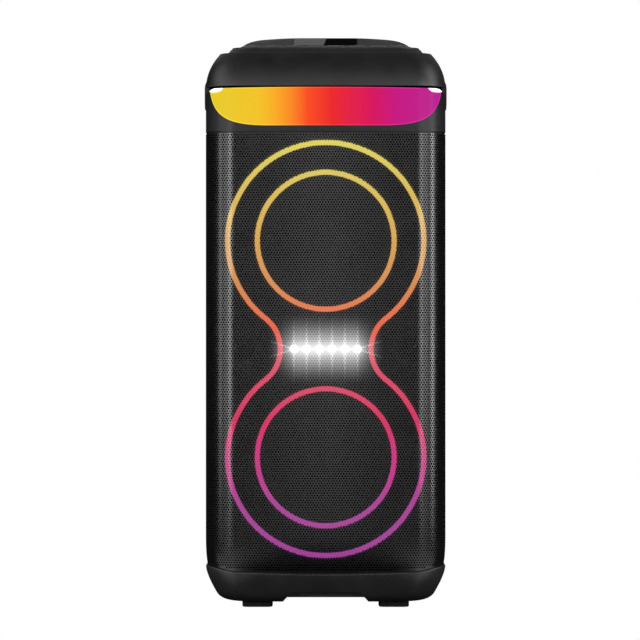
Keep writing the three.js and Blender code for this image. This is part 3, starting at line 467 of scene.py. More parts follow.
def skin(rings, loop=False):
    """Faces between rings of equal point counts, as verts and faces. A loop of rings has no end caps."""
    count, total = len(rings[0]), len(rings)
    faces = []
    for s in range(total if loop else total - 1):
        a, b = s * count, ((s + 1) % total) * count
        for i in range(count):
            j = (i + 1) % count
            faces.append((a + i, a + j, b + j, b + i))
    if not loop:
        faces.append(tuple(range(count))[::-1])
        faces.append(tuple(range((total - 1) * count, total * count)))
    return [p for ring in rings for p in ring], faces


PLACES = {
    "x": lambda u, v, w: (w, u, v),
    "y": lambda u, v, w: (u, w, v),
    "z": lambda u, v, w: (u, v, w),
}


def prism(axis, outline, start, end, name="tool"):
    place = PLACES[axis]
    return make(name, *skin([[place(u, v, w) for u, v in outline] for w in (start, end)]))


def block(x0, x1, y0, y1, z0, z1, name="tool"):
    return prism("z", [(x0, y0), (x1, y0), (x1, y1), (x0, y1)], z0, z1, name)


def pillow(axis, outline_of, start, end, radius, name="tool", steps=3):
    """A prism whose far rim is rounded: outline_of(inset) gives the outline, drawn in by inset."""
    place = PLACES[axis]
    sign = 1 if end > start else -1
    rim = [(radius * (1 - math.sin(a)), end - sign * radius * (1 - math.cos(a)))
           for a in np.linspace(math.pi / 2, 0, steps + 1)]
    rings = [[place(u, v, w) for u, v in outline_of(inset)] for inset, w in [(0, start)] + rim]
    return make(name, *skin(rings))


def rounded_rectangle(u0, u1, v0, v1, r, steps=6):
    """A function that gives the rectangle's outline, drawn in by an inset."""
    def outline(inset=0.0):
        q = max(r - inset, 0.05)
        a, b, c, d = u0 + inset + q, u1 - inset - q, v0 + inset + q, v1 - inset - q
        points = []
        for quarter, (u, v) in enumerate(((b, d), (a, d), (a, c), (b, c))):
            points += arc(u, v, q, quarter * math.pi / 2, (quarter + 1) * math.pi / 2, steps)
        return points
    return outline


def arc(cx, cy, r, start, end, steps):
    return [(cx + r * math.cos(t), cy + r * math.sin(t)) for t in np.linspace(start, end, steps + 1)]


def circle_outline(u, v, r, steps):
    return arc(u, v, r, 0, 2 * math.pi, steps)[:-1]


def bezier(*points, steps=12):
    """Points along a Bezier curve of any degree."""
    result = []
    degree = len(points) - 1
    for t in np.linspace(0, 1, steps + 1):
        weights = [math.comb(degree, k) * t ** k * (1 - t) ** (degree - k) for k in range(degree + 1)]
        result.append(tuple(sum(w * p[i] for w, p in zip(weights, points)) for i in range(2)))
    return result


def lathe(name, profile, x, z, steps=64, closed=False):
    """A body of revolution about an axis along Y. The profile lists (radius, y)."""
    turns = np.linspace(0, 2 * math.pi, steps, endpoint=False)
    rings = [[(x + max(r, 0.001) * math.cos(t), y, z + max(r, 0.001) * math.sin(t)) for t in turns]
             for r, y in profile]
    return make(name, *skin(rings, loop=closed))


# ---------------------------------------------------------------- the tower's outline

BOW_CENTRE = FRONT_Y + BOW_RADIUS


def front_arcs(inset=0.0, shrink=1.0):
    """Radius and centre of the front corners on the outline drawn in by inset, and where the bow ends."""
    radius = max(FRONT_CORNER - shrink * inset, 4)
    x = HALF_WIDTH - inset - radius
    y = BOW_CENTRE - math.sqrt((BOW_RADIUS - inset - radius) ** 2 - x ** 2)
    return radius, x, y, math.atan2(x, BOW_CENTRE - y)


def body_plan(inset=0.0, shrink=1.0):
    """The tower's outline seen from above, drawn in by inset; its corners tighten by shrink times that."""
    radius, x, y, lean = front_arcs(inset, shrink)
    back_radius = max(BACK_CORNER - shrink * inset, 4)
    back_x, back_y = HALF_WIDTH - inset - back_radius, BACK_Y - inset - back_radius
    down = 1.5 * math.pi
    return (
        arc(back_x, back_y, back_radius, 0, math.pi / 2, CORNER_STEPS)
        + arc(-back_x, back_y, back_radius, math.pi / 2, math.pi, CORNER_STEPS)
        + arc(-x, y, radius, math.pi, down - lean, CORNER_STEPS)
        + arc(0, BOW_CENTRE, BOW_RADIUS - inset, down - lean, down + lean, BOW_STEPS)[1:-1]
        + arc(x, y, radius, down + lean, 2 * math.pi, CORNER_STEPS)
    )


def body_loft(profile, shrink=1.0, name="tool"):
    return make(name, *skin([[(x, y, z) for x, y in body_plan(inset, shrink)] for inset, z in profile]))


def body_ring(outer, inner, z0, z1, name="tool"):
    ring = body_loft([(outer, z0), (outer, z1)], name=name)
    return cut(ring, body_loft([(inner, z0 - 1), (inner, z1 + 1)]))


def tuck(z):
    """How far the tower draws in at height z, just above the base shoe."""
    return TUCK * np.maximum((TUCK_TOP - z) / TUCK_HEIGHT, 0) ** 4


def seam_height(y):
    return SEAM_FRONT_Z + SEAM_RISE * (1 - np.exp(-np.maximum(y - FRONT_Y, 0) / SEAM_FADE))


def tower_profile(inset, z0, z1):
    heights = [z0] + [z for z in np.linspace(z0, TUCK_TOP, 9)[1:] if z < z1] + [z1]
    return [(inset + tuck(z), z) for z in heights]


# ---------------------------------------------------------------- grille

_, CORNER_X, CORNER_Y, LEAN = front_arcs()
HALF_BOW = BOW_RADIUS * LEAN
CORNER_LENGTH = FRONT_CORNER * (math.pi / 2 - LEAN)
GRILLE_END = HALF_BOW + CORNER_LENGTH + WING_END_Y - CORNER_Y  # half the sheet's flat width


def on_outline(u):
    """Points and outward normals of the outline at developed distances u from the middle."""
    side, s = np.sign(u), np.abs(u)
    on_bow = s <= HALF_BOW
    angle = np.where(on_bow, s / BOW_RADIUS, np.minimum(LEAN + (s - HALF_BOW) / FRONT_CORNER, math.pi / 2))
    nx, ny = np.sin(angle), -np.cos(angle)
    x = np.where(on_bow, BOW_RADIUS * nx, CORNER_X + FRONT_CORNER * nx)
    y = np.where(on_bow, BOW_CENTRE + BOW_RADIUS * ny, CORNER_Y + FRONT_CORNER * ny)
    past = s - HALF_BOW - CORNER_LENGTH
    return side * x, np.where(past > 0, CORNER_Y + past, y), side * nx, ny


def grille_point(u, z, depth):
    x, y, nx, ny = on_outline(u)
    drawn = tuck(z) + depth
    return np.stack([x - nx * drawn, y - ny * drawn, z], axis=-1)


def grille_bottom(u):
    return seam_height(on_outline(u)[1]) + GAP / 2


# The honeycomb's corners and middles lie on a whole-number grid: half pitches across, half radii up
SIDE_STEP, RISE_STEP = PITCH / 2, PITCH / math.sqrt(3) / 2


def on_sheet(grid):
    return grid[..., 0] * SIDE_STEP, CABINET_TOP - FIRST_ROW - grid[..., 1] * RISE_STEP


def build_grille():
    columns = int(GRILLE_END / PITCH) + 2
    rows = int((CABINET_TOP - SEAM_FRONT_Z) / (3 * RISE_STEP)) + 3
    row, column = np.meshgrid(np.arange(-1, rows), np.arange(-columns, columns + 1), indexing="ij")
    middles = np.stack([(2 * column + row % 2).ravel(), (3 * row).ravel()], axis=-1)
    cu, cz = on_sheet(middles)
    low = grille_bottom(cu)
    inside = (np.abs(cu) < GRILLE_END + SIDE_STEP) & (cz > low - 2 * RISE_STEP)
    is_open = ((np.abs(cu) < GRILLE_END - MARGIN - SIDE_STEP) & (cz > low + MARGIN + 2 * RISE_STEP)
               & (cz < CABINET_TOP - MARGIN / 2 - RISE_STEP))
    split = HALF_BOW / 2.2
    for part, chosen in (("left", cu < -split), ("centre", np.abs(cu) <= split), ("right", cu > split)):
        cells = chosen & inside
        grille_part("front_grille_" + part, middles[cells], is_open[cells])


def grille_part(name, middles, is_open):
    """The open cells' webs and hole walls, and the whole cells along the sheet's rim."""
    corners = np.array([(1, 1), (0, 2), (-1, 1), (-1, -1), (0, -2), (1, -1)])
    keys, index = np.unique((middles[:, None] + corners).reshape(-1, 2), axis=0, return_inverse=True)
    index = index.reshape(-1, 6)
    u, z = on_sheet(keys)
    u = np.clip(u, -GRILLE_END, GRILLE_END)
    z = np.minimum(np.maximum(z, grille_bottom(u)), CABINET_TOP)
    cu, cz = on_sheet(middles[is_open])
    spokes = np.radians(np.arange(30, 360, 60))
    hole_radius = HOLE / math.sqrt(3)
    hu = (cu[:, None] + hole_radius * np.cos(spokes)).ravel()
    hz = (cz[:, None] - hole_radius * np.sin(spokes)).ravel()
    points = [grille_point(u, z, 0.0), grille_point(hu, hz, 0.0), grille_point(hu, hz, SHEET)]
    points = np.concatenate(points)
    spread = np.concatenate([np.stack([u, z], -1)] + [np.stack([hu, hz], -1)] * 2)
    spread = (spread - spread.min(0)) / np.ptp(spread, axis=0)
    near = len(u) + np.arange(len(hu)).reshape(-1, 6)
    far = near + len(hu)
    outer = index[is_open]
    turn = np.roll(np.arange(6), -1)
    webs = np.stack([outer, near, near[:, turn], outer[:, turn]], axis=-1).reshape(-1, 4)
    walls = np.stack([near, far, far[:, turn], near[:, turn]], axis=-1).reshape(-1, 4)
    whole = []
    for cell in index[~is_open].tolist():
        seen = {}
        for k in cell:
            seen.setdefault((round(float(u[k]), 3), round(float(z[k]), 3)), k)
        if len(seen) >= 3 and min(max(c) - min(c) for c in zip(*seen)) > 0.01:
            whole.append(list(seen.values()))
    mesh = bpy.data.meshes.new(name)
    mesh.from_pydata((points * MM).tolist(), [], np.concatenate([webs, walls]).tolist() + whole)
    mesh.validate()
    work = bmesh.new()
    work.from_mesh(mesh)
    layer = work.loops.layers.uv.new("OFBake")
    for face in work.faces:
        for loop in face.loops:
            loop[layer].uv = spread[loop.vert.index]
    add_rim(work, u, z, layer)
    work.to_mesh(mesh)
    work.free()
    finished(placed(name, mesh), GRILLE, replaces="front_grille", sharp=50)
    mesh.materials.append(HOLE_WALL)
    for polygon in mesh.polygons[len(webs):len(webs) + len(walls)]:
        polygon.material_index = 1


def add_rim(work, u, z, layer):
    """Folds the sheet's outer edge back by its thickness."""
    work.verts.ensure_lookup_table()

    def at_rim(vert):
        k = vert.index
        return k < len(u) and (abs(abs(u[k]) - GRILLE_END) < 1e-3 or abs(z[k] - CABINET_TOP) < 1e-3
                               or abs(z[k] - grille_bottom(u[k:k + 1])[0]) < 1e-3)

    border = [e for e in work.edges if e.is_boundary and all(at_rim(v) for v in e.verts)]
    made = bmesh.ops.extrude_edge_only(work, edges=border)
    fresh = [v for v in made["geom"] if isinstance(v, bmesh.types.BMVert)]
    for vert in fresh:
        source = [e.other_vert(vert) for e in vert.link_edges if e.other_vert(vert) not in fresh][0]
        k = source.index
        vert.co = Vector((grille_point(u[k:k + 1], z[k:k + 1], SHEET) * MM)[0])
        for loop in vert.link_loops:
            loop[layer].uv = source.link_loops[0][layer].uv


# ---------------------------------------------------------------- cabinet, baffle, rear panel, port

SIDES = {"left": -1, "right": 1}
RING_CENTRES = {"lower": MID_Z - RING_SPACING, "upper": MID_Z + RING_SPACING}
FAR = 200  # further out than any piece, for tools that trim
WALL = 5
BAFFLE_FRONT, BAFFLE_BACK = -143, -135
REAR_FACE = 153.5
REAR_HALF, REAR_BOTTOM, REAR_TOP, REAR_CORNER = 128, 72, 579, 12  # the cabinet's opening at the back
INPUT_HALF, INPUT_BOTTOM, INPUT_TOP = 75, 430, 530
PORT_Z, PORT_HOLE = 150, 37
SCREW_X, SCREW_HEIGHTS, SCREW_RADIUS = 123.3, (77.5, 200, 326, 452, 573.5), 3.6


def build_cabinet():
    shell = body_loft(tower_profile(0, CABINET_BOTTOM, CABINET_TOP), name="cabinet_shell")
    low, high = CABINET_BOTTOM + WALL, CABINET_TOP - WALL
    inner = SHEET + 0.4 + WALL
    cut(shell, block(-FAR, FAR, -FAR, WING_END_Y + GAP, 0, 700))
    cut(shell, body_loft([(inner, low), (inner, high)]), block(-142, 142, -150, -90, low, high))
    opening = rounded_rectangle(-REAR_HALF, REAR_HALF, REAR_BOTTOM, REAR_TOP, REAR_CORNER)()
    cut(shell, prism("y", opening, 120, FAR))
    finished(shell, BLACK, replaces="cabinet_shell", bevel=0.6)


def build_baffle():
    inset = SHEET + 3
    slab = body_loft([(inset, CABINET_BOTTOM + 2), (inset, CABINET_TOP - 3)], name="front_baffle")
    cut(slab, block(-FAR, FAR, -FAR, BAFFLE_FRONT, 0, 700), block(-FAR, FAR, BAFFLE_BACK, FAR, 0, 700))
    woofer_hole, tweeter_hole = 74, 20
    for z in RING_CENTRES.values():
        cut(slab, lathe("tool", [(woofer_hole, -150), (woofer_hole, -120)], 0, z))
    for side in SIDES.values():
        hole = lathe("tool", [(tweeter_hole, -150), (tweeter_hole, -120)], side * FILLET_X, MID_Z, steps=40)
        cut(slab, hole)
    finished(slab, BAFFLE, replaces="front_baffle", bevel=0.5)


def screw(name, x, y, z, radius):
    """A pan-head screw with a cross recess, its head standing out along +Y."""
    profile = [(0, 0), (0.55, -0.02), (0.85, -0.14), (1, -0.42), (0.98, -0.75), (0, -0.75)]
    head = lathe(name, [(r * radius, d * radius) for r, d in profile], 0, 0, 28)
    arm, half = 0.55 * radius, 0.11 * radius
    for across, up in ((arm, half), (half, arm)):
        cut(head, block(-across, across, -0.45 * radius, 1, -up, up))
    head.data.transform(Matrix.Translation(Vector((x, y, z)) * MM))
    finished(head, STEEL_DARK)


def build_rear():
    half = REAR_HALF - GAP
    outline = rounded_rectangle(-half, half, REAR_BOTTOM + GAP, REAR_TOP - GAP, REAR_CORNER - GAP, steps=8)
    panel = pillow("y", outline, REAR_FACE - 4, REAR_FACE, 0.8, name="rear_panel")
    half = INPUT_HALF + GAP
    cut(panel, block(-half, half, 140, 160, INPUT_BOTTOM - GAP, INPUT_TOP + GAP),
        lathe("tool", [(PORT_HOLE, 140), (PORT_HOLE, 160)], 0, PORT_Z))
    # A shallow frame groove, and cooling ribs over the amplifier's heat sink
    cut(panel, cut(prism("y", rounded_rectangle(-119, 119, 80, 571, 8)(), REAR_FACE - 0.6, 160),
                   prism("y", rounded_rectangle(-117.5, 117.5, 81.5, 569.5, 7)(), 140, 170)))
    for z in range(232, 365, 12):
        cut(panel, prism("y", rounded_rectangle(-78, 78, z, z + 4.5, 2.2)(), REAR_FACE - 1.2, 160))
    finished(panel, BLACK, replaces="rear_panel", bevel=0.25)
    for end, side in SIDES.items():
        for k, z in enumerate(SCREW_HEIGHTS):
            screw(f"rear_screw_{end}_{k + 1}", side * SCREW_X, REAR_FACE + 1.4, z, SCREW_RADIUS)
    inside, outside, flare = 28, 30.5, 155
    tube = lathe("bass_port_tube",
                 [(inside, 60)] + bezier((inside, 133), (inside, flare), (40, flare))
                 + [(44.5, flare), (46.2, 154.8), (47, 154), (47, REAR_FACE + GAP), (36.5, REAR_FACE + GAP),
                    (33.5, 148.5), (outside, 133), (outside, 60)], 0, PORT_Z, 72, closed=True)
    finished(tube, DARK_PLASTIC, replaces="bass_port_tube")


# ---------------------------------------------------------------- light guides, strobes, LED board

GUIDE_BACK = GUIDE_FRONT + 2.6


def figure_eight(offset, steps=48):
    circle, fillet = OUTER_RING + offset, FILLET_RADIUS - offset
    meet = math.atan2(RING_SPACING, FILLET_X)
    return (arc(0, RING_CENTRES["upper"], circle, -meet, math.pi + meet, 2 * steps)
            + arc(-FILLET_X, MID_Z, fillet, meet, -meet, steps // 2)[1:-1]
            + arc(0, RING_CENTRES["lower"], circle, math.pi - meet, 2 * math.pi + meet, 2 * steps)
            + arc(FILLET_X, MID_Z, fillet, math.pi + meet, math.pi - meet, steps // 2)[1:-1])


def band(name, outline_of):
    """A light guide along an outline, with a soft front edge on either side."""
    half, soft = GUIDE_WIDTH / 2, 0.9
    edge = [(half - soft * (1 - math.sin(t)), GUIDE_FRONT + soft * (1 - math.cos(t)))
            for t in np.linspace(0, math.pi / 2, 4)] + [(half, GUIDE_BACK)]
    profile = [(-offset, y) for offset, y in reversed(edge)] + edge
    rings = [[(u, y, v) for u, v in outline_of(offset)] for offset, y in profile]
    return make(name, *skin(rings, loop=True))


def build_lights():
    eight = band("figure_eight_light_guide", figure_eight)
    finished(eight, GUIDE, replaces="figure_eight_light_guide")
    for end in ("upper", "lower"):
        name = end + "_ring_light_guide"
        ring = band(name, lambda offset: circle_outline(0, RING_CENTRES[end], INNER_RING + offset, 120))
        finished(ring, GUIDE, replaces=name)
    bar = pillow("y", rounded_rectangle(-50, 50, MID_Z - 9, MID_Z + 9, 6), GUIDE_BACK, GUIDE_BACK - 1.5, 0.5,
                 name="strobe_lens_bar")
    dome = [(0, GUIDE_BACK - 5.5)]
    dome += [(STROBE_RADIUS * math.sin(t), GUIDE_BACK - 1 - 4.5 * math.cos(t))
             for t in np.linspace(0.15, math.pi / 2, 8)]
    dome += [(STROBE_RADIUS, GUIDE_BACK - 0.5), (0, GUIDE_BACK - 0.5)]
    for i in range(STROBE_COUNT):
        unite(bar, lathe("tool", dome, (i - (STROBE_COUNT - 1) / 2) * STROBE_SPACING, MID_Z, 32))
    finished(bar, STROBE_LENS, replaces="strobe_lens_bar")


# ---------------------------------------------------------------- woofers behind the grille

COIL, CONE_RIM = 19, 60
ROLL_MIDDLE, ROLL_RADIUS, ROLL_BASE = 65.5, 3.9, -145.4


def half_turn(radius, y, start, end):
    return arc(ROLL_MIDDLE, y, radius, start, end, 14)


def build_woofers():
    for end, z in RING_CENTRES.items():
        name = end + "_woofer"
        body = name + "_diaphragm"
        front = [(COIL, -86), (COIL, -116)] + bezier((COIL, -116), (38, -133), (CONE_RIM, -145))
        rear = [(CONE_RIM, -146.4), (58.6, -146.4)] + bezier((58.6, -146.4), (37, -134), (17.8, -117.4))
        cone = lathe(name + "_cone", front + rear + [(17.8, -86)], 0, z, closed=True)
        finished(cone, CONE, replaces=name + "_cone", body=body)
        cap = bezier((23.6, -122.8), (19, -130), (0, -131))
        dust = lathe(name + "_dust_cap", cap[::-1] + [(0.94 * r, y + 1.3) for r, y in cap], 0, z)
        finished(dust, RUBBER, replaces=name + "_dust_cap", body=body)
        inner, outer = CONE_RIM + GAP, 70.7
        ring = lathe(name + "_surround",
                     [(inner, ROLL_BASE)] + half_turn(ROLL_RADIUS, ROLL_BASE, math.pi, 2 * math.pi)
                     + [(outer, ROLL_BASE), (outer, ROLL_BASE + 1)]
                     + half_turn(ROLL_RADIUS - 1, ROLL_BASE + 0.2, 2 * math.pi, math.pi)
                     + [(inner, ROLL_BASE + 1)], 0, z, closed=True)
        finished(ring, RUBBER, replaces=name + "_surround")


# ---------------------------------------------------------------- base shoe and feet

SHOE_CORNERS = 0.4  # how much of its inset the shoe's corners tighten by
UNDERSIDE_INSET = 40
ARCHES = [  # the channel under the base and the front arch: half widths below and above, height, end
    (59, 49, 12.8, 170), (60, 43, 20.6, FRONT_Y + 37),
]
FOOT_X, FOOT_Y, FOOT_HALF_WIDTH, FOOT_HALF_DEPTH = 85.5, 94, 19, 18


def shoe_inset(z):
    """The shoe's side profile: how far it is drawn in at height z."""
    profile = [(UNDERSIDE_INSET, FOOT_TOP)] + bezier((37, 7.3), (19, 8.6), (13.4, 18.5))
    profile += bezier((13.4, 18.5), (6, 32), (0.2, 44), (0, CABINET_BOTTOM), steps=24)[1:]
    return float(np.interp(z, [p[1] for p in profile], [p[0] for p in profile]))


def build_base():
    """A drawn-in shoe: a flat underside, a curved flank and a rim rolled over at the seam."""
    shares = (0.012, 0.03, 0.06, 0.1, 0.16, 0.22, 0.3, 0.4, 0.5, 0.6, 0.7, 0.8, 0.88, 0.94)
    rim, rim_share = 1.4, 0.035
    levels = [(0, None)] + [(t, 0) for t in shares]
    roll = np.linspace(0, math.pi / 2, 6)
    levels += [(1 - rim_share * (1 - math.sin(a)), rim * (1 - math.cos(a))) for a in roll]
    tops = [seam_height(y) - GAP / 2 for _, y in body_plan(0, SHOE_CORNERS)]
    plans, rings = {}, []
    for t, extra in levels:
        ring = []
        for i, top in enumerate(tops):
            z = FOOT_TOP + t * (top - FOOT_TOP)
            inset = UNDERSIDE_INSET if extra is None else round(shoe_inset(z) + extra, 2)
            if inset not in plans:
                plans[inset] = body_plan(inset, SHOE_CORNERS)
            ring.append((*plans[inset][i], z))
        rings.append(ring)
    shoe = make("base_shoe", *skin(rings))
    cut(shoe, body_loft([(15, 24), (9, 36), (5, 48), (4.5, 70)], SHOE_CORNERS))
    for side in SIDES.values():
        cut(shoe, prism("x", rounded_rectangle(-95, 95, 11, 40, 4)(), side * 84 - 22, side * 84 + 22))
    for below, above, height, end in ARCHES:
        cut(shoe, prism("y", [(-below, 0), (below, 0), (above, height), (-above, height)], -170, end))
    finished(shoe, SHOE, replaces="base_shoe", sharp=28, bevel=0.5)
    for end, y in (("front", -FOOT_Y), ("rear", FOOT_Y)):
        for side, sign in SIDES.items():
            build_foot(f"{end}_{side}_foot", sign * FOOT_X, y)


def build_foot(name, x, y):
    """A rubber pad with grooves in its sole."""
    w, d = FOOT_HALF_WIDTH, FOOT_HALF_DEPTH
    pad = pillow("z", rounded_rectangle(x - w, x + w, y - d, y + d, 8), FOOT_TOP - GAP, 0, 1.6, name=name)
    for groove in (x - 12, x - 6, x, x + 6, x + 12):
        cut(pad, prism("z", rounded_rectangle(groove - 1, groove + 1, y - 12, y + 12, 0.9)(), -1, 0.7))
    finished(pad, RUBBER, replaces=name, bevel=0.2)


# ---------------------------------------------------------------- shoulder bezel and light panel

PANEL_TOP, PANEL_ARCH, PANEL_BOTTOM, PANEL_BELLY, FLAT_HALF = 647.8, 2.4, 601.4, 8, 70
TIP_X, TIP_Z, PANEL_CORNER = 144, 643.4, 127
PANEL_INSET = 0.8
SKIRT_X = 148.3


def panel_outline(grow=0.0, steps=24):
    t, b, x, tip = PANEL_TOP + grow, PANEL_BOTTOM - grow, TIP_X + grow, TIP_Z + grow
    left = (bezier((-PANEL_CORNER, t), (-PANEL_CORNER - 4, tip - 2.6), (-x, tip), steps=steps // 2)[:-1]
            + bezier((-x, tip), (5 - x, b + PANEL_BELLY), (26 - x, b), (-FLAT_HALF, b), steps=steps))
    floor = [(u, b) for u in np.linspace(-FLAT_HALF, FLAT_HALF, 12)[1:-1]]
    lid = bezier((PANEL_CORNER, t), (0, t + PANEL_ARCH), (-PANEL_CORNER, t), steps=20)[1:-1]
    return left + floor + [(-u, v) for u, v in reversed(left)] + lid


def front_depth(x, inset):
    """Depth of the tower's front at x, on the outline drawn in by inset."""
    if abs(x) <= BOW_RADIUS * math.sin(LEAN):
        return BOW_CENTRE - math.sqrt((BOW_RADIUS - inset) ** 2 - x ** 2)
    return CORNER_Y - math.sqrt(max((FRONT_CORNER - inset) ** 2 - (abs(x) - CORNER_X) ** 2, 0))


def skirt_outline(grow=0.0):
    front, back, bottom, bend, top = -121 - grow, 136 + grow, 624 - grow, 631, BEZEL_TOP + 6
    return [(front, top), (front + 9, bend), (front + 18, bottom),
            (back - 8, bottom), (back, bend), (back, top)]


def through_front(outline, end):
    return prism("y", outline, FRONT_Y - 5, end)


def build_bezel():
    bezel = body_ring(0, 4, BEZEL_BOTTOM, BEZEL_TOP, name="shoulder_bezel")
    unite(bezel, body_ring(3, 8, CABINET_TOP + GAP, BEZEL_BOTTOM + 2))
    cut(bezel, through_front(panel_outline(GAP), -118))
    cut(bezel, block(-FAR, FAR, FRONT_Y - 5, -118, TIP_Z - 2 * GAP, BEZEL_TOP + 1))
    for side in SIDES.values():
        ends = sorted((side * (SKIRT_X - GAP), side * (SKIRT_X - GAP + 20)))
        cut(bezel, prism("x", skirt_outline(GAP), *ends))
    finished(bezel, SATIN, replaces="shoulder_bezel", bevel=0.5)

    lens = body_ring(PANEL_INSET, PANEL_INSET + 5, 590, 660, name="light_panel_lens")
    common(lens, through_front(panel_outline(), -119))
    finished(lens, PANEL, replaces="light_panel_lens", bevel=0.4)
    # A painted highlight along the lens's edge: a fine bead that follows its outline, glowing lighter than
    # the lens
    beads = []
    for angle in np.linspace(0, 2 * math.pi, 8, endpoint=False):
        grow, out = -0.6 + 0.5 * math.cos(angle), 0.42 * math.sin(angle)
        beads.append([(x, front_depth(x, PANEL_INSET) - out, z) for x, z in panel_outline(grow)])
    finished(make("light_panel_edge_highlight", *skin(beads, loop=True)), PANEL_EDGE_HIGHLIGHT, sharp=80)

    # White accent lenses at the panel's top corners: a painted highlight, glowing white where the glossy
    # lens curves back
    under = bezier((PANEL_CORNER + 0.6, PANEL_TOP), (PANEL_CORNER + 4.6, TIP_Z - 2), (TIP_X, TIP_Z + 0.5))
    over = bezier((TIP_X + 1, TIP_Z + 1.2), (TIP_X - 2, PANEL_TOP), (PANEL_CORNER + 10, PANEL_TOP))
    for end, side in SIDES.items():
        name = end + "_accent_lens"
        sliver = body_ring(PANEL_INSET, 4, 590, 660, name=name)
        common(sliver, through_front([(side * u, v) for u, v in under + over], -119))
        finished(sliver, WHITE_HIGHLIGHT_LENS, replaces=name)


# ---------------------------------------------------------------- top cap and carrying handle

CAP_WALL = 3
CAP_CORNERS = 0.45
SLOT_HALF, SLOT_FRONT, SLOT_BACK, SLOT_BOTTOM = 82, 88, 147, 640


def cap_profile(wall=0.0):
    """Insets and heights of the cap's side: a round flank, a ledge and the edge of the plateau."""
    flank = bezier((0, BEZEL_TOP + GAP + wall), (0.8, 673.5 + 0.5 * wall), (17.7, CAP_SHOULDER), steps=16)
    ledge = [(18.5, 0.25), (19.5, 0.3), (26.5, 0.5), (27.5, 1.2)]
    profile = flank + [(inset, CAP_SHOULDER + rise) for inset, rise in ledge]
    profile += [(30.6, PLATEAU - 0.8), (31.6, PLATEAU - 0.1), (43, PLATEAU)]
    return [(inset + wall, z - wall) for inset, z in profile]


def build_cap():
    cap = body_loft(cap_profile(), CAP_CORNERS, name="top_cap")
    cut(cap, body_loft([(CAP_WALL, BEZEL_TOP - 5)] + cap_profile(CAP_WALL), CAP_CORNERS))
    skirt_faces = [(-1.5, 623), (-1.5, BEZEL_TOP - 2), (-1.2, BEZEL_TOP + 2), (-0.4, BEZEL_TOP + 5),
                   (1.3, BEZEL_TOP + 8.5)]
    for side in SIDES.values():
        flap = prism("x", skirt_outline(), *sorted((side * SKIRT_X, side * 151.5)))
        unite(cap, common(flap, body_loft(skirt_faces)))
    tub = block(-SLOT_HALF - CAP_WALL, SLOT_HALF + CAP_WALL, SLOT_FRONT - CAP_WALL, SLOT_BACK + CAP_WALL,
                SLOT_BOTTOM - CAP_WALL, 710)
    under_skin = [(5, SLOT_BOTTOM - 20), (5, BEZEL_TOP + GAP)] + cap_profile(CAP_WALL / 2)[1:]
    unite(cap, common(tub, body_loft(under_skin, CAP_CORNERS)))
    slot = rounded_rectangle(-SLOT_HALF, SLOT_HALF, SLOT_FRONT, SLOT_BACK, 5)()
    cut(cap, prism("z", slot, SLOT_BOTTOM, 720))
    cut(cap, block(-SLOT_HALF, SLOT_HALF, SLOT_BACK - 8, 170, BEZEL_TOP + 3, 720))
    cut(cap, block(-103, 103, -111, 50, 680, 720))  # room for the control board under the console
    finished(cap, BLACK, replaces="top_cap", sharp=26, bevel=0.5)


def build_handle():
    bottom, top, front, back = 676, 698, 121, 144
    curves = [((124, bottom), (141, bottom), 3), ((141, bottom), (145, 677), (back, 682), 12),
              ((back, 682), (141, 690), (134, 696), 12), ((134, 696), (132, 697.8), (129, top), 12),
              ((129, top), (124, top), 2), ((124, top), (front, 697.5), (front, 694), 12),
              ((front, 694), (front, 680), 3), ((front, 680), (front, 676.3), (124, bottom), 12)]
    outline = []
    for *points, steps in curves:
        outline += bezier(*points, steps=steps)[:-1]
    bar = prism("x", outline, GAP - SLOT_HALF, SLOT_HALF - GAP, name="carry_handle")
    for x in range(-60, 61, 5):
        cut(bar, prism("y", rounded_rectangle(x - 1, x + 1, 670, bottom + 1, 0.9)(), 124, 140))
    finished(bar, BLACK, replaces="carry_handle", sharp=40, bevel=0.3)


# ---------------------------------------------------------------- console, display and buttons

LEDGE_FRONT, LEDGE_BACK, LEDGE_FRONT_Z, LEDGE_BACK_Z = -117, -90, 700.9, 703.7
LEDGE_TILT = math.atan2(LEDGE_BACK_Z - LEDGE_FRONT_Z, LEDGE_BACK - LEDGE_FRONT)
DISPLAY_HALF, DISPLAY_TOP, DISPLAY_TOP_Z, DISPLAY_LENGTH, DISPLAY_RAISE = 40, -58, 716.6, 28, 2
DISPLAY_TILT = math.atan2(DISPLAY_TOP_Z - LEDGE_BACK_Z, DISPLAY_TOP - LEDGE_BACK)
CONSOLE_HALF, CONSOLE_BACK, CONSOLE_BOTTOM = 107, 62, PLATEAU + GAP
TEMPLE, BROW = (CONSOLE_HALF - 6, 711), (80, 713.8)
BUTTON_SPACING, BUTTON_WIDTH, BUTTON_DEPTH, BUTTON_HEIGHT, BUTTON_PROUD = 26.2, 20, 11, 7, 1.5
BUTTONS = {"power_button": "power", "source_button": "source", "light_mode_button": "light",
           "volume_down_button": "minus", "volume_up_button": "plus", "play_pause_button": "play",
           "bass_boost_button": "bass", "party_link_button": "link"}
MARK = 0.12  # thickness of the symbols on the buttons


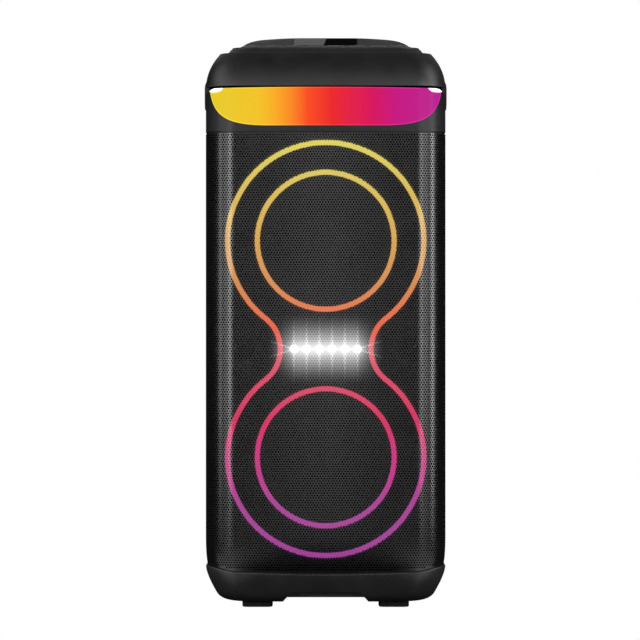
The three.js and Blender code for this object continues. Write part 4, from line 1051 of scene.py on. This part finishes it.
def console_solid(wall, name="tool"):
    """The console without its foot plate, drawn in by wall."""
    front, back = LEDGE_FRONT - 0.5 + wall, CONSOLE_BACK - wall
    half, top = CONSOLE_HALF - wall, CONSOLE_TOP - wall
    below = CONSOLE_BOTTOM - 5 * (wall > 0)
    side = [(front, below), (back, below), (back, 701 - wall)]
    side += bezier((back, 701 - wall), (56, 710 - wall), (44, 714 - wall))[1:]
    side += bezier((44, 714 - wall), (36, 716.6 - wall), (25, 716.7 - wall))[1:]
    side += [(-20, top)] + bezier((-46, top), (-54, top), (DISPLAY_TOP - 1, DISPLAY_TOP_Z - 0.4 - wall))
    side += [(LEDGE_BACK, LEDGE_BACK_Z - wall), (LEDGE_FRONT, LEDGE_FRONT_Z - wall),
             (front, LEDGE_FRONT_Z - 0.6 - wall)]
    temple, brow = (TEMPLE[0] - wall, TEMPLE[1] - wall), (BROW[0], BROW[1] - wall)
    right = bezier((half, CONSOLE_BOTTOM + 1), temple, brow)
    right += bezier(brow, (45, top + 0.2), (0, top + 0.2))[1:]
    crown = [(-half, CONSOLE_BOTTOM - 6), (half, CONSOLE_BOTTOM - 6)] + right
    crown += [(-u, v) for u, v in reversed(right[:-1])]
    plan = rounded_rectangle(-half, half, front, back, 12 - wall, steps=10)()
    return common(prism("x", side, -120, 120, name=name), prism("y", crown, -130, 80),
                  prism("z", plan, CONSOLE_BOTTOM - 6, CONSOLE_TOP + 5))


def tilted(obj, x, y, z, tilt):
    obj.data.transform(Matrix.Translation(Vector((x, y, z)) * MM) @ Matrix.Rotation(tilt, 4, "X"))
    return obj


def on_ledge(obj, x):
    return tilted(obj, x, (LEDGE_FRONT + LEDGE_BACK) / 2, (LEDGE_FRONT_Z + LEDGE_BACK_Z) / 2, LEDGE_TILT)


def on_display_face(obj):
    y = (LEDGE_BACK + DISPLAY_TOP) / 2 + DISPLAY_RAISE * math.cos(DISPLAY_TILT)
    z = (LEDGE_BACK_Z + DISPLAY_TOP_Z) / 2 + DISPLAY_RAISE * math.sin(DISPLAY_TILT)
    return tilted(obj, 0, y, z, DISPLAY_TILT)


def flat(outline):
    return prism("z", outline, 0, MARK)


def stroke(x0, x1, y0, y1):
    return block(x0, x1, y0, y1, 0, MARK)


def icon(kind):
    """A raised generic symbol, drawn round the origin."""
    parts = []
    if kind == "power":
        start, end = math.radians(125), math.radians(415)
        ring = arc(0, 0, 2.4, start, end, 30) + arc(0, 0, 1.9, end, start, 30)
        parts = [flat(ring), stroke(-0.28, 0.28, 0.6, 3)]
    elif kind == "plus":
        parts = [stroke(-2, 2, -0.3, 0.3), stroke(-0.3, 0.3, 0.3, 2), stroke(-0.3, 0.3, -2, -0.3)]
    elif kind == "minus":
        parts = [stroke(-2, 2, -0.3, 0.3)]
    elif kind == "play":
        parts = [flat([(-3, -1.9), (0, 0), (-3, 1.9)])]
        parts += [stroke(x, x + 0.7, -1.9, 1.9) for x in (0.9, 2.3)]
    elif kind == "bass":
        for i, half in enumerate((1.0, 1.9, 2.6, 1.9, 1.0)):
            parts.append(stroke(-3 + 1.3 * i, -2.4 + 1.3 * i, -half, half))
    elif kind == "light":
        parts = [flat(circle_outline(0, 0, 1.1, 20))]
        for k in range(8):
            ray = stroke(1.7, 2.7, -0.2, 0.2)
            ray.data.transform(Matrix.Rotation(k * math.pi / 4, 4, "Z"))
            parts.append(ray)
    elif kind == "link":
        parts = [cut(flat(circle_outline(x, 0, 1.5, 24)), prism("z", circle_outline(x, 0, 1.05, 24), -1, 1))
                 for x in (-1.4, 1.4)]
    else:
        parts = [flat([(-2.6 * s, 0.4 * s), (2.6 * s, 0.4 * s), (1.2 * s, 1.9 * s)]) for s in (1, -1)]
    return join(parts, kind + "_symbol")


def build_console():
    shell = console_solid(0, "console_housing")
    unite(shell, pillow("z", rounded_rectangle(-117.5, 117.5, -121.5, 65.5, 27, steps=12), CONSOLE_BOTTOM,
                        CONSOLE_BOTTOM + 1.5, 0.5))
    cut(shell, console_solid(2.5))
    w, d = BUTTON_WIDTH / 2, BUTTON_DEPTH / 2
    places = [(i - (len(BUTTONS) - 1) / 2) * BUTTON_SPACING for i in range(len(BUTTONS))]
    for x in places:
        hole = rounded_rectangle(-w - GAP, w + GAP, -d - GAP, d + GAP, 2.3)()
        cut(shell, on_ledge(prism("z", hole, -14, 6), x))
    half, length = DISPLAY_HALF, DISPLAY_LENGTH / 2
    window = rounded_rectangle(-half - GAP, half + GAP, -length - GAP, length + GAP, 1.3)()
    cut(shell, on_display_face(prism("z", window, -7, 5)))
    finished(shell, BLACK, replaces="console_housing", sharp=24, bevel=0.3)
    pane = rounded_rectangle(-half, half, -length, length, 1)
    lens = pillow("z", pane, -2.1, 0.1, 0.3, name="display_lens")
    finished(on_display_face(lens), GLOSS, replaces="display_lens", sharp=8)
    for (name, kind), x in zip(BUTTONS.items(), places):
        key = pillow("z", rounded_rectangle(-w, w, -d, d, 2), BUTTON_PROUD - BUTTON_HEIGHT, BUTTON_PROUD,
                     0.7, name=name, steps=4)
        finished(on_ledge(key, x), BUTTON, replaces=name, body=name)
        mark = icon(kind)
        mark.data.transform(Matrix.Translation((0, 0, (BUTTON_PROUD - 0.04) * MM)))
        finished(on_ledge(mark, x), PRINT, body=name)


# ---------------------------------------------------------------- rear connectors

FLOOR = 137  # the input recess's floor, which the connectors stand on
UPPER_ROW, LOWER_ROW = 506, 464
JACKS = {"microphone_jack": (-48, UPPER_ROW, 3.4, 7), "guitar_jack": (-18, UPPER_ROW, 3.4, 7),
         "line_jack": (-18, LOWER_ROW, 1.9, 4.5)}
KNOB_X, KNOB_RADIUS, KNOB_SHAFT = 22, 9, 3
INLET_X, INLET_Z = 30, 462
USB_X = -48


def build_connectors():
    rim = rounded_rectangle(-80, 80, 425, 535, 6)
    flange = pillow("y", rim, REAR_FACE + GAP, 155, 0.6, name="rear_input_panel")
    unite(flange, block(-INPUT_HALF, INPUT_HALF, 134, 154.5, INPUT_BOTTOM, INPUT_TOP))
    cut(flange, prism("y", rounded_rectangle(-72, 72, 433, 527, 3)(), FLOOR, 160))
    for x, z, _, barrel in (*JACKS.values(), (KNOB_X, UPPER_ROW, 0, KNOB_SHAFT)):
        cut(flange, lathe("tool", [(barrel + GAP, 120), (barrel + GAP, 150)], x, z, 40))
    cut(flange, block(USB_X - 7.3, USB_X + 7.3, 120, 150, 459.7, 468.3))
    cut(flange, block(INLET_X - 11.3, INLET_X + 11.3, 120, 150, 453.7, 470.3))
    finished(flange, BLACK, replaces="rear_input_panel", bevel=0.3)
    for name, (x, z, bore, barrel) in JACKS.items():
        nut = barrel + 2
        profile = [(0, -20), (barrel, -20), (barrel, GAP), (nut, GAP), (nut, 2.3), (nut - 0.7, 3),
                   (bore + 0.8, 3), (bore, 2.3), (bore, -17), (0, -17)]
        jack = lathe(name, [(r, FLOOR + y) for r, y in profile], x, z, 48)
        finished(jack, STEEL, replaces=name)
    build_usb()
    build_inlet()
    build_knob()


def build_usb():
    usb = block(USB_X - 7, USB_X + 7, FLOOR - 14, FLOOR + 1, 460, 468, "usb_port")
    cut(usb, block(USB_X - 6, USB_X + 6, FLOOR - 12, FLOOR + 5, 461.6, 466.4))
    unite(usb, block(USB_X - 5, USB_X + 5, FLOOR - 13, FLOOR - 0.5, 464.4, 465.9))
    finished(usb, STEEL, replaces="usb_port", bevel=0.2)


def build_inlet():
    inlet = block(INLET_X - 11, INLET_X + 11, FLOOR - 20, FLOOR + 1, 454, 470, "mains_inlet")
    unite(inlet, pillow("y", rounded_rectangle(15, 45, 451, 473, 3), FLOOR + GAP, FLOOR + 2, 0.5))
    recess = rounded_rectangle(22.6, 37.4, 457.8, 466.2, 4.1, steps=10)()
    cut(inlet, prism("y", recess, FLOOR - 16, FLOOR + 5))
    finished(inlet, DARK_PLASTIC, replaces="mains_inlet", bevel=0.2)
    for end, side in SIDES.items():
        profile = [(0, -17), (1.2, -17), (1.2, -3.6), (0.7, -3), (0, -3)]
        profile = [(r, FLOOR + y) for r, y in profile]
        pin = lathe("inlet_pin_" + end, profile, INLET_X + 4.3 * side, INLET_Z, 20)
        finished(pin, STEEL)


def build_knob():
    """The microphone's level knob, fluted, with a printed pointer in a groove."""
    profile = [(0, -12), (KNOB_SHAFT, -12), (KNOB_SHAFT, 2), (KNOB_RADIUS, 2), (KNOB_RADIUS, 12),
               (8.2, 13), (0, 13)]
    grip = lathe("microphone_knob", [(r, FLOOR + y) for r, y in profile], KNOB_X, UPPER_ROW, 48)
    for k in range(18):
        t, out = (2 * k + 1) * math.pi / 18, KNOB_RADIUS + 0.2
        notch = circle_outline(KNOB_X + out * math.cos(t), UPPER_ROW + out * math.sin(t), 0.55, 8)
        cut(grip, prism("y", notch, FLOOR + 3.5, FLOOR + 14))
    cut(grip, block(KNOB_X - 0.5, KNOB_X + 0.5, FLOOR + 12, FLOOR + 20, 508, 514.6))
    finished(grip, BUTTON, replaces="microphone_knob", body="microphone_knob", bevel=0.15)
    pointer = block(KNOB_X - 0.4, KNOB_X + 0.4, FLOOR + 11.9, FLOOR + 12.8, 508.1, 514.4,
                    "microphone_knob_pointer")
    finished(pointer, PRINT, body="microphone_knob", bevel=0.1)


# ---------------------------------------------------------------- inner parts that keep their CAD shape

def dress_inner_parts():
    """Finishes for the CAD pieces that stay as they are, inside the cabinet."""
    finishes = {
        "basket": DARK_PLASTIC, "magnet": FERRITE, "spider": CLOTH, "motor": DARK_PLASTIC, "dome": GLOSS,
        "board": BOARD, "front_led_board": LED_BOARD, "sink": ALUMINIUM, "pack": BATTERY,
    }
    for name, node in nodes.items():
        kind = name if name in finishes else name.rsplit("_", 1)[-1]
        if kind in finishes and not node.hide_render:
            node.data.materials.clear()
            node.data.materials.append(finishes[kind])


# ---------------------------------------------------------------- studio, in metres

def area_light(name, place, aim, width, height, power, glossy=True, roll=0.0):
    data = bpy.data.lights.new(name, "AREA")
    data.shape = "RECTANGLE"
    data.size, data.size_y, data.energy = width, height, power
    light = placed(name, data)
    light.location = place
    facing = (Vector(aim) - Vector(place)).to_track_quat("-Z", "Y").to_matrix().to_4x4()
    light.rotation_euler = (facing @ Matrix.Rotation(math.radians(roll), 4, "Z")).to_euler()
    light.visible_camera = False
    light.visible_glossy = glossy


def build_world():
    """A white backdrop for the camera, which lights the tower and shines in it far less."""
    world = bpy.data.worlds.new("studio")
    world.use_nodes = True
    bpy.context.scene.world = world
    n = Nodes(world.node_tree)
    background = world.node_tree.nodes["Background"]
    path = n.add("ShaderNodeLightPath")
    dim = n.stretch(path.outputs["Is Glossy Ray"], 0, 1, 0.16, 0.01)
    n.feed(background.inputs["Strength"], n.largest(path.outputs["Is Camera Ray"], dim))
    background.inputs["Color"].default_value = (1, 1, 1, 1)


def build_floor():
    mesh = bpy.data.meshes.new("studio_floor")
    work = bmesh.new()
    bmesh.ops.create_grid(work, x_segments=8, y_segments=8, size=30)
    work.to_mesh(mesh)
    work.free()
    floor = placed("studio_floor", mesh)
    pale = bpy.data.materials.new("pale_floor")
    pale.use_nodes = True
    shader = pale.node_tree.nodes["Principled BSDF"]
    shader.inputs["Base Color"].default_value = (0, 0, 0, 1)
    shader.inputs["Specular IOR Level"].default_value = 0
    shader.inputs["Emission Color"].default_value = (1, 1, 1, 1)
    shader.inputs["Emission Strength"].default_value = 1
    mesh.materials.append(pale)
    floor.visible_diffuse = False
    floor.visible_glossy = False


def build_lamps():
    area_light("centre_strip", (0, -2.4, 0.55), (0, -0.15, 0.45), 0.25, 1.2, 1.5)
    area_light("front_high", (0, -1.9, 1.5), (0, -0.15, 0.45), 0.9, 0.7, 1.0)
    # Upright strips round the front, which the grille's round corners mirror
    middle, reach, height = -0.12, 1.5, 0.56
    strips = {"left": {"corner": (29, 5.4), "quarter": (46, 1.9), "side": (64, 2.7)},
              "right": {"corner": (29, 4.2), "quarter": (46, 2.4), "side": (70, 6)}}
    for end, side in SIDES.items():
        for kind, (angle, power) in strips[end].items():
            turn = math.radians(angle)
            place = (side * reach * math.sin(turn), middle - reach * math.cos(turn), height)
            area_light(f"{kind}_strip_{end}", place, (0, middle, height), 0.3, 0.9, power)
        area_light("flank_" + end, (side * 1.85, -0.6, 1.75), (0, -0.05, 0.65), 1.5, 1.1, 9)
        area_light("floor_bounce_" + end, (side * 0.3, -0.42, 0.004), (side * 0.3, -0.42, 1), 0.36, 0.5, 0.4)
        area_light("side_fill_" + end, (side * 2.4, 0.3, 0.9), (0, 0, 0.35), 1.0, 1.2, 12, glossy=False)
    area_light("back_fill", (0.9, 2.6, 1.2), (0, 0, 0.35), 1.4, 1.2, 70, glossy=False)
    area_light("overhead", (0, 0.35, 2.3), (0, 0, 0.7), 1.6, 0.8, 1.0)
    # Cards behind the tower, mirrored by the console: the display shows only the left one's slanted edge
    slant, card = -24, 1.3
    above, console = Vector((0, 1.47, 1.98)), Vector((0, -0.074, 0.71))
    aim = console - above
    for end, x, power in (("left", 0.003, 3.6), ("right", 0.2, 2.2)):
        half_card = Vector((SIDES[end] * card / 2, 0, 0))
        centre = above + Vector((x, 0, 0)) + Matrix.Rotation(math.radians(-slant), 3, aim) @ half_card
        area_light("console_card_" + end, centre, centre + aim, card, 2.2, power, roll=slant)


def build_camera():
    camera = bpy.data.cameras.new("camera")
    camera.lens = 204.03
    camera.sensor_width = 36
    camera.clip_end = 100
    view = placed("camera", camera)
    view.location = (-0.0071, -4.655, 0.35955)
    view.rotation_euler = (math.pi / 2, 0, 0)
    scene = bpy.context.scene
    scene.camera = view
    scene.view_settings.view_transform = "Standard"
    scene.view_settings.look = "None"


for build in (build_grille, build_cabinet, build_baffle, build_rear, build_lights, build_woofers, build_base,
              build_bezel, build_cap, build_handle, build_console, build_connectors, dress_inner_parts,
              build_world, build_floor, build_lamps, build_camera):
    build()
